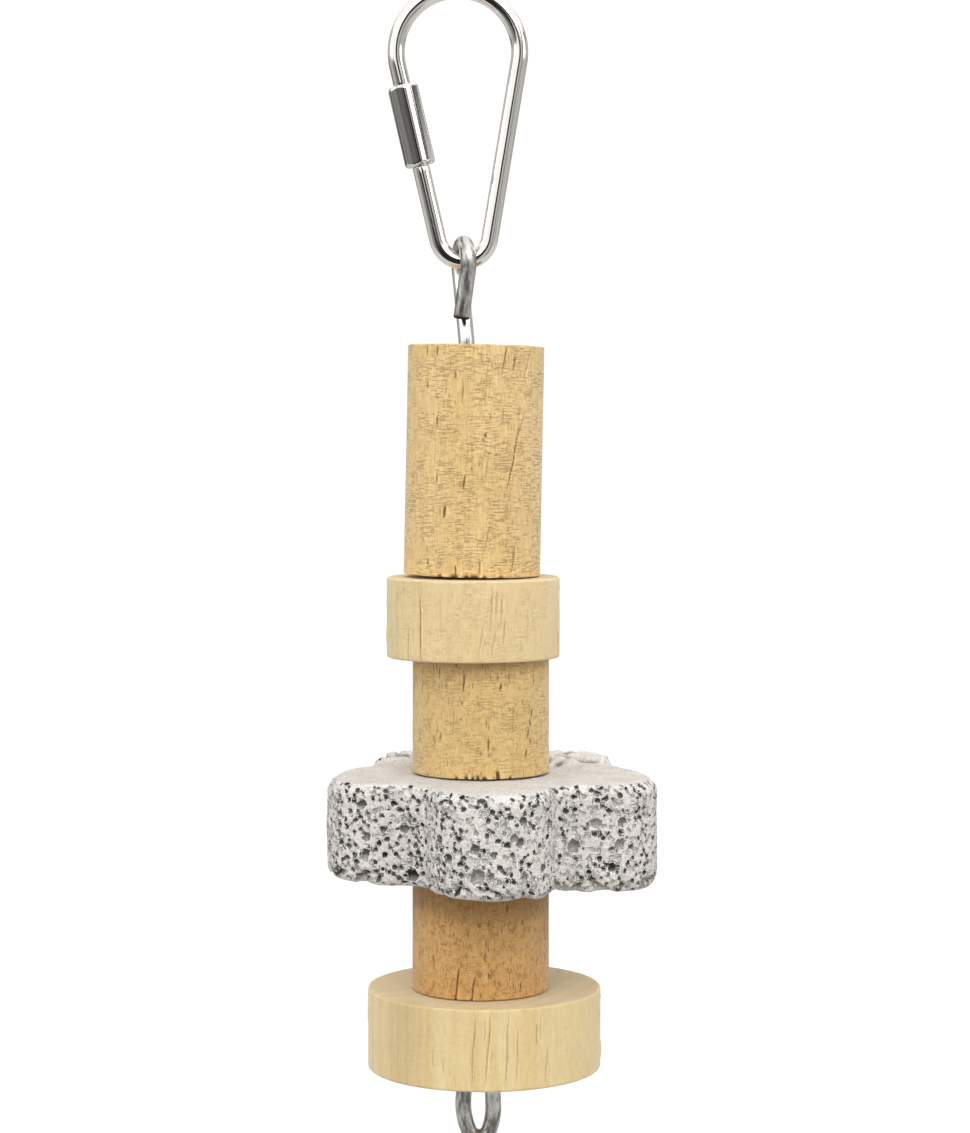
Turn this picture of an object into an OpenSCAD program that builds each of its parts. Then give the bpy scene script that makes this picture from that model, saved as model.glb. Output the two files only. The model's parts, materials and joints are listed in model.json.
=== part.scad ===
// Hanging gnawing stick: wooden dowels, discs and a lava stone threaded on a bent wire rod,
// which swings from a screw link. The origin is the inside of the link's top bend, the place
// that the stick hangs by. +Z is up and the front faces -Y. All sizes are in millimetres.

/* [Screw link] */
// Diameter of the link's wire
link_wire_d = 3; // [2.4:0.1:3.6]
// Radius of the wide top bend, at the middle of the wire
link_top_r = 10.8; // [9:0.1:14]
// Radius of the narrow bottom bend, at the middle of the wire
link_bottom_r = 4.6; // [3.8:0.1:6]
// Distance between the centres of the two bends
link_bend_gap = 31.9; // [28:0.1:40]
// Width of the mouth that the sleeve closes
link_mouth = 5; // [3:0.1:7]
// Length of the upper wire end that the sleeve holds
link_grip = 2.6; // [2:0.1:4]
// Lean of the hanging link, its foot to the right
link_lean = 1.8; // [0:0.1:4]

/* [Screw sleeve] */
// Length of the sleeve
sleeve_l = 14.2; // [12:0.1:16]
// Wall of the sleeve at the middle of a flat
sleeve_wall = 0.95; // [0.7:0.05:1.3]
// Length of straight wire between the top bend and the sleeve
sleeve_drop = 3.6; // [1:0.1:5]
// Bevel at both ends of the sleeve
sleeve_bevel = 0.6; // [0.3:0.05:0.8]
// Turn of the sleeve on its wire
sleeve_turn = 8; // [0:1:59]

/* [Wire rod] */
// Diameter of the rod's wire
rod_d = 2.8; // [2.4:0.1:3.2]
// Room for the link's wire in the top eye, on the diameter
top_eye_play = 1; // [0.8:0.1:1.6]
// Slant of the wire where it opens into the top eye
top_eye_slant = 15; // [12:0.5:20]
// Slant of the top eye's free end towards the rod
top_end_slant = 9; // [6:0.5:10]
// Side lean of the top eye's free end
top_end_lean = 8; // [5:0.5:12]
// Length of the top eye's free end
top_end_l = 9; // [7:0.1:10]
// Turn of the top eye away from the side view
top_eye_turn = 14; // [0:1:30]
// Inside width of the bottom eye at its pinched foot
bottom_eye_in_d = 1; // [0.6:0.1:2]
// Radius of the bottom eye's bellied sides, at the middle of the wire
bottom_belly_r = 12; // [10:0.5:16]
// Turn of each side from the belly down to the foot
bottom_eye_pinch = 22; // [16:0.5:28]
// Slant of the bottom eye's free end, back towards the rod
bottom_end_slant = 6; // [3:0.5:10]
// Length of the bottom eye's free end
bottom_end_l = 5.5; // [4:0.1:8]
// Lean of the hanging rod, its foot to the right
rod_lean = 2; // [0:0.1:3]

/* [Wooden pieces] */
// Diameter of the dowels
dowel_d = 24; // [20:0.5:28]
// Length of the long dowel
long_dowel_h = 40; // [30:0.5:50]
// Length of the two short dowels
short_dowel_h = 20; // [15:0.5:26]
// Radius of the dowels' worn edges
dowel_edge = 0.5; // [0.2:0.1:1]
// Diameter of the small disc
small_disc_d = 30.4; // [27:0.2:36]
// Diameter of the large disc
large_disc_d = 41; // [36:0.2:48]
// Thickness of both discs
disc_h = 14; // [10:0.5:18]
// Radius of the discs' worn edges
disc_edge = 0.4; // [0.2:0.1:2]

/* [Lava stone] */
// Thickness of the stone
stone_h = 17.5; // [14:0.5:22]
// Number of lobes round the stone
stone_lobes = 5; // [4:1:7]
// Radius of a lobe
stone_lobe_r = 10.8; // [9:0.1:12]
// Distance from the stone's middle to the middle of a lobe
stone_lobe_reach = 18.9; // [16:0.1:21]
// Radius of the stone at the notches between the lobes
stone_notch_r = 22; // [19:0.1:24]
// Radius of the stone's worn edges
stone_edge = 3; // [1.5:0.1:4]
// How much more the edges are worn in the notches
stone_notch_wear = 0.5; // [0.2:0.1:1]
// Turn of the front lobe to the right of the middle
stone_turn = -1; // [-20:1:30]
// Pits in the outer wall of each lobe
lobe_pits = 10; // [4:1:12]
// Radius of the smallest pit
pit_min_r = 0.5; // [0.3:0.1:0.8]
// Radius of the largest pit
pit_max_r = 1.3; // [0.9:0.1:1.8]

/* [Fits] */
// Diameter of the hole that the rod passes through
hole_d = 7; // [6:0.1:8]
// Room that the pieces leave to the rod at their closest
rod_clearance = 0.1; // [0.05:0.01:0.2]
// Gap between one threaded piece and the next
stack_gap = 0.15; // [0.1:0.05:0.3]
// Room above the long dowel, up to the top eye's free end
stack_play = 4.8; // [3:0.1:8]
// Gap between the sleeve's bore and the link's wire, all round
sleeve_clearance = 0.1; // [0.05:0.01:0.15]
// Gap between the top eye and the link's wire that carries it
hang_clearance = 0.15; // [0.1:0.01:0.25]
// Share of the hole's room that the long dowel's tilt takes up
long_dowel_tilt = 0.55; // [0:0.01:0.7]

/* [Hidden] */
$fn = 72;
HALF_TURN = 180;

STEEL = [0.80, 0.79, 0.77];
WIRE = [0.64, 0.64, 0.62];
PALE_WOOD = [0.90, 0.78, 0.56];
TAN_WOOD = [0.83, 0.66, 0.40];
PUMICE = [0.80, 0.78, 0.76];

// Screw link: slant of its legs, and the ends of the straight left leg
link_slant = asin((link_top_r - link_bottom_r) / link_bend_gap);
link_leg_l = sqrt(pow(link_bend_gap, 2) - pow(link_top_r - link_bottom_r, 2));
link_out = [cos(link_slant), 0, -sin(link_slant)];
link_foot = [0, 0, -link_bend_gap];
link_seat_r = link_top_r - link_wire_d / 2;

// Sleeve: its bore and its width over the flats and the corners
sleeve_bore_d = link_wire_d + 2 * sleeve_clearance;
sleeve_flats = sleeve_bore_d + 2 * sleeve_wall;
sleeve_corners = sleeve_flats / cos(30);

// Pivot: the lowest point of the link's wire, at the middle of the wire
pivot = [link_bend_gap * sin(link_lean), 0,
    -link_seat_r - link_bend_gap * cos(link_lean) - link_bottom_r];

// Top eye, in the rod's frame with the pivot at zero
top_eye_r = (link_wire_d + top_eye_play + rod_d) / 2;
top_eye_z = hang_clearance - top_eye_play / 2;
rod_knee_z = top_eye_z - top_eye_r / sin(top_eye_slant);
top_end_z = top_eye_z - top_eye_r * sin(top_end_slant) - top_end_l * cos(top_end_slant);

// Threaded pieces: the height of each one's underside, from the top of the pile to its foot
hole_play = (hole_d - rod_d) / 2 - rod_clearance;
long_dowel_slant = atan(2 * hole_play * long_dowel_tilt / long_dowel_h) - rod_lean;
long_dowel_rise = dowel_d / 2 * sin(abs(long_dowel_slant));
long_dowel_z = pivot.z + top_end_z - stack_play - long_dowel_h - 2 * long_dowel_rise;
small_disc_z = long_dowel_z - stack_gap - disc_h;
middle_dowel_z = small_disc_z - stack_gap - short_dowel_h;
stone_z = middle_dowel_z - stack_gap - stone_h;
lower_dowel_z = stone_z - stack_gap - short_dowel_h;
large_disc_z = lower_dowel_z - stack_gap - disc_h;

// Bottom eye, in the rod's frame: its free end stops just under the large disc
bottom_eye_r = (bottom_eye_in_d + rod_d) / 2;
bottom_pinch_l = bottom_belly_r - bottom_eye_r;
bottom_foot_x = bottom_pinch_l * cos(bottom_eye_pinch) - bottom_belly_r;
bottom_side_x = 2 * bottom_foot_x + bottom_belly_r;
bottom_end_x = bottom_side_x - bottom_belly_r * cos(bottom_end_slant)
    + bottom_end_l * sin(bottom_end_slant);
bottom_end_lift = rod_d / 2 * sin(abs(bottom_end_slant - rod_lean)) + bottom_end_x * sin(rod_lean);
bottom_end_z = (large_disc_z - stack_gap - pivot.z - bottom_end_lift) / cos(rod_lean);
bottom_eye_z = bottom_end_z - bottom_belly_r * sin(bottom_end_slant)
    - bottom_end_l * cos(bottom_end_slant);

// Sideways and forward places of the pieces, as shares of the room that the leaning rod leaves them
LONG_DOWEL_SITS = [0.65, 0];
SMALL_DISC_SITS = [-0.28, 0];
MIDDLE_DOWEL_SITS = [0.14, 0];
STONE_SITS = [0.95, 0];
LOWER_DOWEL_SITS = [-0.68, -0.6];
LARGE_DISC_SITS = [-0.62, 0.6];

// Spread of the pits over a lobe's wall, each share stepping by its own turn
PIT_ARC = 116;
PIT_TURN = 0.755;
PIT_CLIMB = 0.57;
PIT_GROW = 0.731;
LOBE_SHIFT = 0.293;
PIT_STANDOFF = 0.35;

// How far a straight run of wire reaches into a bend, and how much thinner it is
WIRE_LAP = 0.12;
WIRE_EASE = 0.02;

function fraction(value) = value - floor(value);
function rod_x(z) = pivot.x + (pivot.z - z) * tan(rod_lean);

// Place of a piece on the rod, from its underside, its height and how it sits
function seat(z, h, sits) = let (room = hole_play - h / 2 * tan(rod_lean))
    [rod_x(z + h / 2) + sits.x * room, sits.y * room, z];

// Straight wire from one point to another, a hair thinner than the bends that its laps run into
module wire_run(from, to, d, laps) {
    way = (to - from) / norm(to - from);
    start = from - laps[0] * WIRE_LAP * way;
    end = to + laps[1] * WIRE_LAP * way;
    translate(start)
        rotate([0, acos(way.z), atan2(way.y, way.x)])
            cylinder(h = norm(end - start), d = d - WIRE_EASE);
}

// Wire bent about the Y axis, with angles counted from +X towards +Z
module wire_bend(r, d, from, sweep) {
    rotate([90, 0, 0])
        rotate([0, 0, from])
            rotate_extrude(angle = sweep)
                translate([r, 0])
                    circle(d = d);
}

// Round piece with a worn rim and a hole for the rod
module turned_piece(d, h, edge) {
    wall = d / 2 - hole_d / 2;
    rotate_extrude() {
        translate([hole_d / 2, 0])
            square([wall - edge, h]);
        translate([hole_d / 2, edge])
            square([wall, h - 2 * edge]);
        for (z = [edge, h - edge])
            translate([d / 2 - edge, z])
                circle(r = edge);
    }
}

// Puts its children in the leaning link, with the middle of the top bend at zero
module in_link() {
    translate([0, 0, -link_seat_r])
        rotate([0, -link_lean, 0])
            children();
}

// Puts its children in the leaning rod, with the pivot at zero
module in_rod() {
    translate(pivot)
        rotate([0, -rod_lean, 0])
            children();
}

// Pear-shaped link, open in its left leg
module link_body() {
    left_out = [-link_out.x, 0, link_out.z];
    leg_top = link_top_r * left_out;
    leg_down = [sin(link_slant), 0, -cos(link_slant)];
    upper_l = sleeve_drop + link_grip;
    color(STEEL)
        in_link() {
            wire_bend(link_top_r, link_wire_d, -link_slant, HALF_TURN + 2 * link_slant);
            translate(link_foot)
                wire_bend(link_bottom_r, link_wire_d, HALF_TURN + link_slant,
                    HALF_TURN - 2 * link_slant);
            wire_run(link_top_r * link_out, link_foot + link_bottom_r * link_out, link_wire_d,
                [1, 1]);
            wire_run(leg_top, leg_top + upper_l * leg_down, link_wire_d, [1, 0]);
            wire_run(leg_top + (upper_l + link_mouth) * leg_down, leg_top + link_leg_l * leg_down,
                link_wire_d, [0, 1]);
        }
}

// Six-sided screw sleeve round the open leg
module link_sleeve() {
    end_r = sleeve_corners / 2 - sleeve_bevel;
    color(STEEL)
        in_link()
            rotate([0, HALF_TURN - link_slant, 0])
                translate([link_top_r, 0, sleeve_drop])
                    difference() {
                        intersection() {
                            rotate([0, 0, sleeve_turn])
                                cylinder(h = sleeve_l, d = sleeve_corners, $fn = 6);
                            rotate_extrude()
                                polygon([[0, 0], [end_r, 0], [end_r + sleeve_bevel, sleeve_bevel],
                                    [end_r + sleeve_bevel, sleeve_l - sleeve_bevel], [end_r, sleeve_l],
                                    [0, sleeve_l]]);
                        }
                        translate([0, 0, -1])
                            cylinder(h = sleeve_l + 2, d = sleeve_bore_d);
                    }
}

// One wire with an eye bent at each end
module eye_rod() {
    color(WIRE)
        in_rod() {
            rotate([0, 0, top_eye_turn - 90])
                top_eye();
            wire_run([0, 0, rod_knee_z], [0, 0, bottom_eye_z], rod_d, [0, 1]);
            bottom_eye();
        }
}

// Eye round the link's wire, which springs from the rod at a knee and ends free in front of it
module top_eye() {
    knee = [0, 0, rod_knee_z];
    middle = [0, 0, top_eye_z];
    back = middle - top_eye_r * [cos(top_eye_slant), 0, sin(top_eye_slant)];
    front = middle + top_eye_r * [cos(top_end_slant), 0, -sin(top_end_slant)];
    end_way = [-sin(top_end_slant), -tan(top_end_lean), -cos(top_end_slant)];
    translate(middle)
        wire_bend(top_eye_r, rod_d, -top_end_slant, HALF_TURN + top_eye_slant + top_end_slant);
    wire_run(back, knee, rod_d, [1, 0]);
    wire_run(front, front + top_end_l * end_way, rod_d, [0, 0]);
    for (bend = [knee, front])
        translate(bend)
            sphere(d = rod_d + WIRE_EASE);
}

// Narrow eye under the large disc, on the left of the rod: bellied sides pinched to a tight foot
module bottom_eye() {
    lap = WIRE_LAP / bottom_eye_r * HALF_TURN / PI;
    side = [bottom_side_x, 0, bottom_eye_z];
    end = side + bottom_belly_r * [-cos(bottom_end_slant), 0, sin(bottom_end_slant)];
    translate([-bottom_belly_r, 0, bottom_eye_z])
        wire_bend(bottom_belly_r, rod_d, -bottom_eye_pinch, bottom_eye_pinch);
    translate([bottom_foot_x, 0, bottom_eye_z - bottom_pinch_l * sin(bottom_eye_pinch)])
        wire_bend(bottom_eye_r, rod_d - WIRE_EASE, HALF_TURN + bottom_eye_pinch - lap,
            HALF_TURN - 2 * bottom_eye_pinch + 2 * lap);
    translate(side)
        wire_bend(bottom_belly_r, rod_d, HALF_TURN - bottom_end_slant,
            bottom_eye_pinch + bottom_end_slant);
    wire_run(end, end + bottom_end_l * [sin(bottom_end_slant), 0, cos(bottom_end_slant)], rod_d,
        [1, 0]);
}

// Long dowel, tilted on the rod as far as its hole lets it
module long_dowel() {
    place = seat(long_dowel_z, long_dowel_h, [0, 0]);
    room = hole_play * (1 - long_dowel_tilt);
    color(PALE_WOOD)
        translate(place + [LONG_DOWEL_SITS.x * room, LONG_DOWEL_SITS.y * room,
            long_dowel_rise + long_dowel_h / 2])
            rotate([0, long_dowel_slant, 0])
                translate([0, 0, -long_dowel_h / 2])
                    turned_piece(dowel_d, long_dowel_h, dowel_edge);
}

module small_disc() {
    color(PALE_WOOD)
        translate(seat(small_disc_z, disc_h, SMALL_DISC_SITS))
            turned_piece(small_disc_d, disc_h, disc_edge);
}

module middle_dowel() {
    color(TAN_WOOD)
        translate(seat(middle_dowel_z, short_dowel_h, MIDDLE_DOWEL_SITS))
            turned_piece(dowel_d, short_dowel_h, dowel_edge);
}

module lower_dowel() {
    color(TAN_WOOD)
        translate(seat(lower_dowel_z, short_dowel_h, LOWER_DOWEL_SITS))
            turned_piece(dowel_d, short_dowel_h, dowel_edge);
}

module large_disc() {
    color(PALE_WOOD)
        translate(seat(large_disc_z, disc_h, LARGE_DISC_SITS))
            turned_piece(large_disc_d, disc_h, disc_edge);
}

// Flower-shaped stone: rounded lobes round a core, with pits in their outer walls
module lava_stone() {
    color(PUMICE)
        translate(seat(stone_z, stone_h, STONE_SITS))
            difference() {
                union() {
                    turned_piece(2 * stone_notch_r, stone_h, stone_edge + stone_notch_wear);
                    for (lobe = [0 : stone_lobes - 1])
                        at_lobe(lobe)
                            stone_lobe();
                }
                for (lobe = [0 : stone_lobes - 1])
                    at_lobe(lobe)
                        stone_pits(lobe);
            }
}

// Puts its children at the middle of a lobe, with +X pointing outwards
module at_lobe(lobe) {
    rotate([0, 0, stone_turn - HALF_TURN / 2 + lobe * 2 * HALF_TURN / stone_lobes])
        translate([stone_lobe_reach, 0, 0])
            children();
}

// Solid lobe with worn edges
module stone_lobe() {
    rotate_extrude() {
        square([stone_lobe_r - stone_edge, stone_h]);
        translate([0, stone_edge])
            square([stone_lobe_r, stone_h - 2 * stone_edge]);
        for (z = [stone_edge, stone_h - stone_edge])
            translate([stone_lobe_r - stone_edge, z])
                circle(r = stone_edge);
    }
}

// Balls that open pits of many sizes in a lobe's upright wall
module stone_pits(lobe) {
    for (pit = [0 : lobe_pits - 1]) {
        shift = lobe * LOBE_SHIFT;
        turn = PIT_ARC * (fraction(pit * PIT_TURN + shift) - 0.5);
        r = pit_min_r + (pit_max_r - pit_min_r) * fraction(pit * PIT_GROW + shift);
        z = stone_edge + (stone_h - 2 * stone_edge) * fraction(pit * PIT_CLIMB + 2 * shift);
        rotate([0, 0, turn])
            translate([stone_lobe_r + PIT_STANDOFF * r, 0, z])
                sphere(r = r);
    }
}

link_body();
link_sleeve();
eye_rod();
long_dowel();
small_disc();
middle_dowel();
lava_stone();
lower_dowel();
large_disc();
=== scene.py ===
"""Hanging gnawing stick of wood, lava stone and bent wire, modelled around its fixed frame."""

import itertools
import json
import math
import random
from collections import namedtuple
from functools import partialmethod

import bmesh
import bpy
import numpy as np
from bpy.props import FloatProperty, FloatVectorProperty, IntProperty, PointerProperty
from mathutils import Matrix, Vector
from mathutils.kdtree import KDTree


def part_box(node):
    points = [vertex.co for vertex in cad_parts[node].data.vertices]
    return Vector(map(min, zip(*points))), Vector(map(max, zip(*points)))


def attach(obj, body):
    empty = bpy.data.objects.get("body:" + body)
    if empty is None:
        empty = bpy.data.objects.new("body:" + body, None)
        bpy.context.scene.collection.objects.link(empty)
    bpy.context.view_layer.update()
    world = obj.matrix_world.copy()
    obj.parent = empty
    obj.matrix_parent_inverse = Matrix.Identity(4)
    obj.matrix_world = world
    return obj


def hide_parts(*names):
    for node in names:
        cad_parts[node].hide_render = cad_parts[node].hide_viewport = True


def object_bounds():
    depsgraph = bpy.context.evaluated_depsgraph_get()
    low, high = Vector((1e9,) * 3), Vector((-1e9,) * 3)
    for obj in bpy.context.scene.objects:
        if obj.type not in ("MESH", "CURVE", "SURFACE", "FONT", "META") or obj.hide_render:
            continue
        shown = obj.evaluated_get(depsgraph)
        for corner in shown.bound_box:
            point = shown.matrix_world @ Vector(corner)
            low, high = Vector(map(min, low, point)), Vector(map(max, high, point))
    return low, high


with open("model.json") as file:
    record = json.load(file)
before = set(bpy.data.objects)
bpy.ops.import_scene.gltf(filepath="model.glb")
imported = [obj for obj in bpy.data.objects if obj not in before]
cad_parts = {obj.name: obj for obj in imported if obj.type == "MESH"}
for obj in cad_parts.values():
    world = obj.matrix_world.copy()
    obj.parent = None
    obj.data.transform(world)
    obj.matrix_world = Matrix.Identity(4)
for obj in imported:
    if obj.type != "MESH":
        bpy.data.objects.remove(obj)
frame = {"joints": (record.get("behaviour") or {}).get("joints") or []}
CAD_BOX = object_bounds()

bl_info = {
    "name": "Lava gnawing stick",
    "version": (1, 0, 0),
    "blender": (4, 5, 0),
    "location": "View3D > Sidebar > Gnawing stick",
    "description": "Models a hanging gnawing stick of wood, lava stone and bent wire",
    "category": "Add Mesh",
}

MM = 0.001
TURN = 2 * math.pi
JOINTS = {joint["name"]: joint for joint in frame["joints"]}

# The photograph's frame in pixels, and how many of its pixels one metre of the stick's middle plane takes
PHOTO_W = 970
PHOTO_H = 1133
PIXELS_PER_METRE = 5710


def length(name, description, millimetres):
    """A size that the panel shows as a length."""
    return FloatProperty(name=name, description=description, default=millimetres * MM,
                         unit="LENGTH", precision=5)


def angle(name, description, degrees):
    """A size that the panel shows as an angle."""
    return FloatProperty(name=name, description=description, default=math.radians(degrees),
                         subtype="ANGLE")


def share(name, description, value):
    """A value from none to all."""
    return FloatProperty(name=name, description=description, default=value, min=0, max=1,
                         subtype="FACTOR")


def count(name, description, value):
    """A whole number of copies."""
    return IntProperty(name=name, description=description, default=value, min=1)


def colour(name, description, red, green, blue):
    """A colour in linear light."""
    return FloatVectorProperty(name=name, description=description, default=(red, green, blue),
                               size=3, min=0, max=1, subtype="COLOR")


class ScrewLinkSizes(bpy.types.PropertyGroup):
    """Sizes of the pear-shaped link and its sleeve."""

    wire_d: length("Wire", "Diameter of the link's wire", 3)
    top_r: length("Top bend", "Radius of the wide bend at the middle of the wire", 10.8)
    bottom_r: length("Bottom bend", "Radius of the narrow bend at the middle of the wire", 4.6)
    bend_gap: length("Bend gap", "Distance between the centres of the bends", 31.9)
    mouth: length("Mouth", "Width of the mouth that the sleeve closes", 5)
    grip: length("Grip", "Length of the upper end that the sleeve holds", 2.6)
    lean: angle("Lean", "Lean of the hanging link, its foot to the right", 1.8)
    thread_pitch: length("Thread pitch", "Step of the screw thread on the two ends", 0.5)
    thread_depth: length("Thread depth", "Depth of the screw thread", 0.24)
    thread_l: length("Thread", "Length of the thread below the mouth", 7)
    sleeve_l: length("Sleeve", "Length of the six-sided sleeve", 14.2)
    sleeve_wall: length("Sleeve wall", "Wall of the sleeve at the middle of a flat", 0.95)
    sleeve_clearance: length("Sleeve clearance", "Gap between the bore and the wire", 0.1)
    sleeve_drop: length("Sleeve drop", "Straight wire between the top bend and the sleeve", 3.6)
    sleeve_bevel: length("Sleeve bevel", "Bevel at both ends of the sleeve", 0.6)
    sleeve_round: length("Sleeve corners", "Radius of the sleeve's six long corners", 0.32)
    sleeve_turn: angle("Sleeve turn", "Turn of the sleeve on its wire", 21)
    sleeve_crown: length("Sleeve crown", "How far the six flats swell at their middles", 0.05)


class WireRodSizes(bpy.types.PropertyGroup):
    """Sizes of the wire rod with an eye at each end."""

    wire_d: length("Wire", "Diameter of the rod's wire", 2.8)
    top_eye_r: length("Top eye", "Radius of the top eye at the middle of the wire", 3.4)
    top_eye_z: length("Top eye height", "Middle of the top eye above the pivot", -0.35)
    top_eye_slant: angle("Top eye slant", "Slant of the wire that opens into the eye", 15)
    top_end_slant: angle("Top end slant", "Slant of the eye's free end towards the rod", 9)
    top_end_lean: angle("Top end lean", "Side lean of the eye's free end", 8)
    top_end_l: length("Top end", "Length of the top eye's free end", 9)
    top_eye_turn: angle("Top eye turn", "Turn of the top eye away from the side view", 14)
    knee_r: length("Knee", "Radius of the bend where the eye springs from the rod", 6)
    end_bend_r: length("End bend", "Radius of the small bend in the free end", 5)
    bottom_eye_r: length("Bottom eye", "Radius of its pinched foot at the middle of the wire", 1.9)
    belly_r: length("Belly", "Radius of the bottom eye's bellied sides at the middle of the wire", 12)
    bottom_pinch: angle("Pinch", "Turn of each side from the belly down to the foot", 22)
    bottom_eye_z: length("Bottom eye height", "Widest place of the bottom eye below the pivot", -148.198)
    bottom_end_slant: angle("Bottom end slant", "Slant of the free end back towards the rod", 6)
    bottom_end_l: length("Bottom end", "Length of the bottom eye's free end", 5.5)
    lean: angle("Lean", "Lean of the hanging rod, its foot to the right", 2)


class WoodSizes(bpy.types.PropertyGroup):
    """Sizes that the wooden pieces share."""

    hole_d: length("Hole", "Diameter of the hole for the rod", 7)
    dowel_h: length("Long dowel", "Length of the long dowel", 40)
    dowel_d: length("Dowels", "Diameter of the dowels", 24)
    dowel_edge: length("Dowel rim", "Radius of the dowels' worn rims", 0.25)
    disc_edge: length("Disc rim", "Radius of the discs' worn rims", 0.4)
    waviness: length("Waviness", "How far the turned walls stray inwards", 0.1)
    mark_room: length("Mark room", "Room that each strewn pore or crack has", 3)
    column_w: length("Mesh width", "Width of a mesh face round the walls", 0.135)
    row_h: length("Mesh height", "Height of a mesh face up the walls", 0.33)


class StoneSizes(bpy.types.PropertyGroup):
    """Sizes of the flower-shaped lava stone."""

    lobes: count("Lobes", "Number of lobes round the stone", 5)
    lobe_r: length("Lobe", "Radius of a lobe", 10.8)
    lobe_reach: length("Lobe reach", "Distance from the middle to the middle of a lobe", 18.9)
    notch_r: length("Notch", "Radius of the stone at the notches", 22)
    edge: length("Edge", "Radius of the worn edges", 2.5)
    turn: angle("Turn", "Turn of the front lobe to the right of the middle", -1)
    crease: length("Crease", "How softly one lobe runs into the next", 2.4)
    lobe_pits: count("Lobe pits", "Larger pits in the wall of each lobe, as in the frame", 10)
    pit_min_r: length("Least pit", "Radius of the smallest of those pits", 0.5)
    pit_max_r: length("Largest pit", "Radius of the largest of those pits", 1.3)
    wall_pores: count("Wall pores", "Places in the wall where a smaller pore is tried", 9000)
    least_pore: length("Least pore", "Radius of the smallest modelled pore", 0.19)
    most_pore: length("Largest pore", "Radius of the largest of the smaller pores", 0.5)
    seat_r: length("Seat", "Radius of the flat seat round the hole", 13)
    sag: length("Sag", "How far the lobes hang below that seat", 0.7)
    rise: length("Rise", "How far the lobes at the back stand above it", 1.3)
    back_fill: length("Back notches", "How much shallower the notches at the back are", 1.2)


class Finishes(bpy.types.PropertyGroup):
    """Colours of the bare materials."""

    nickel: colour("Nickel", "Polished plate of the link and sleeve", 0.87, 0.85, 0.81)
    wire: colour("Wire", "Drawn steel of the rod", 0.80, 0.79, 0.77)
    pale_wood: colour("Pale wood", "Long dowel", 0.77, 0.55, 0.25)
    cream_wood: colour("Cream wood", "Discs", 0.79, 0.64, 0.35)
    tan_wood: colour("Tan wood", "Middle dowel", 0.68, 0.48, 0.205)
    brown_wood: colour("Brown wood", "Lower dowel", 0.62, 0.37, 0.14)
    stain: colour("Stain", "Dirt and shade in cracks of the wood", 0.17, 0.072, 0.016)
    pumice: colour("Pumice", "Bare lava stone", 0.82, 0.785, 0.745)
    # Painted shade: the pore colour stands in for the shadow deep in the stone's pores.
    pore: colour("Pore", "Depth of the stone's pores", 0.016, 0.014, 0.012)
    floor: colour("Floor", "Pale floor", 0.5, 0.5, 0.5)


class StageSettings(bpy.types.PropertyGroup):
    """Where the camera and the floor stand."""

    camera_distance: length("Camera distance", "From the camera to the stick's middle plane", 476)
    horizon_row: FloatProperty(name="Horizon", description="Photograph row of the camera's own height",
                               default=427)
    axis_column: FloatProperty(name="Axis", description="Photograph column of the frame's origin",
                               default=458)
    view_shift: share("Shift", "Share of the frame's height that the lens is shifted down by", 0.08)
    floor_drop: length("Floor drop", "Gap between the bottom eye and the floor", 12)
    floor_w: length("Floor width", "Width and depth of the floor", 4000)
    floor_front: length("Floor front", "How far the floor reaches in front of the stick", 140)


# Meshes

NOISE_CELLS = 48
SPIN_STEPS = 16


def read_rows(parts, field):
    """A field of a mesh's points or normals as rows of x, y and z."""
    rows = np.empty(len(parts) * 3)
    parts.foreach_get(field, rows)
    return rows.reshape(-1, 3)


def about_axis(points):
    """Each point's turn about the axis, from the front towards the right, and its distance from it."""
    return np.arctan2(points[:, 0], -points[:, 1]), np.hypot(points[:, 0], points[:, 1])


def write_points(mesh, points):
    """Puts moved points back into the mesh."""
    mesh.vertices.foreach_set("co", points.astype(np.float32).ravel())
    mesh.update()


def write_values(mesh, name, values, kind="FLOAT", part="value"):
    """Keeps a number or a vector per point, for the material to read."""
    kept = mesh.attributes.new(name, kind, "POINT")
    kept.data.foreach_set(part, values.astype(np.float32).ravel())


def smooth_step(low, high, values):
    """Eases from 0 at low to 1 at high."""
    eased = np.clip((values - low) / (high - low), 0, 1)
    return eased * eased * (3 - 2 * eased)


def noise_at(points, size, seed=0):
    """Soft noise from -1 to 1, with lumps of about that size."""
    lattice = np.random.default_rng(seed).uniform(-1, 1, (NOISE_CELLS,) * 3)
    cells = points / size
    low = np.floor(cells).astype(int)
    part = cells - low
    part = part * part * (3 - 2 * part)
    total = np.zeros(len(points))
    for corner in itertools.product((0, 1), repeat=3):
        weight = np.where(np.array(corner), part, 1 - part).prod(axis=1)
        total += weight * lattice[tuple(((low + corner) % NOISE_CELLS).T)]
    return total


def layered_noise(points, *layers):
    """A sum of noises, each with its size in millimetres, its seed and its weight."""
    return sum(weight * noise_at(points, size * MM, seed) for size, seed, weight in layers)


def mesh_of(bm, name, sharp=None):
    """Ends a bmesh as a smooth mesh whose faces point outwards, with edges over an angle left sharp."""
    bmesh.ops.recalc_face_normals(bm, faces=bm.faces[:])
    for face in bm.faces:
        face.smooth = True
    mesh = bpy.data.meshes.new(name)
    bm.to_mesh(mesh)
    bm.free()
    if sharp:
        mesh.set_sharp_from_angle(angle=sharp)
    return mesh


def put_in_scene(name, data):
    """A new object in the scene."""
    made = bpy.data.objects.new(name, data)
    bpy.context.scene.collection.objects.link(made)
    return made


def set_piece(mesh, node, body, material):
    """Puts a mesh in the scene for a node of the frame, on the node's body."""
    piece = put_in_scene(mesh.name, mesh)
    mesh.materials.append(material)
    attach(piece, body)
    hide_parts(node)


# Wires

WIRE_SIDES = 40
WIRE_SHARP = math.radians(50)
THREAD_STEPS = 8
EYE_WIRE = 21 * MM
EYE_FADE = 3 * MM

# How far a cut end of wire is drawn in, by the length from it
WIRE_END = ((0.0, 0.84), (0.08 * MM, 0.94), (0.26 * MM, 1.0))

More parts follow.
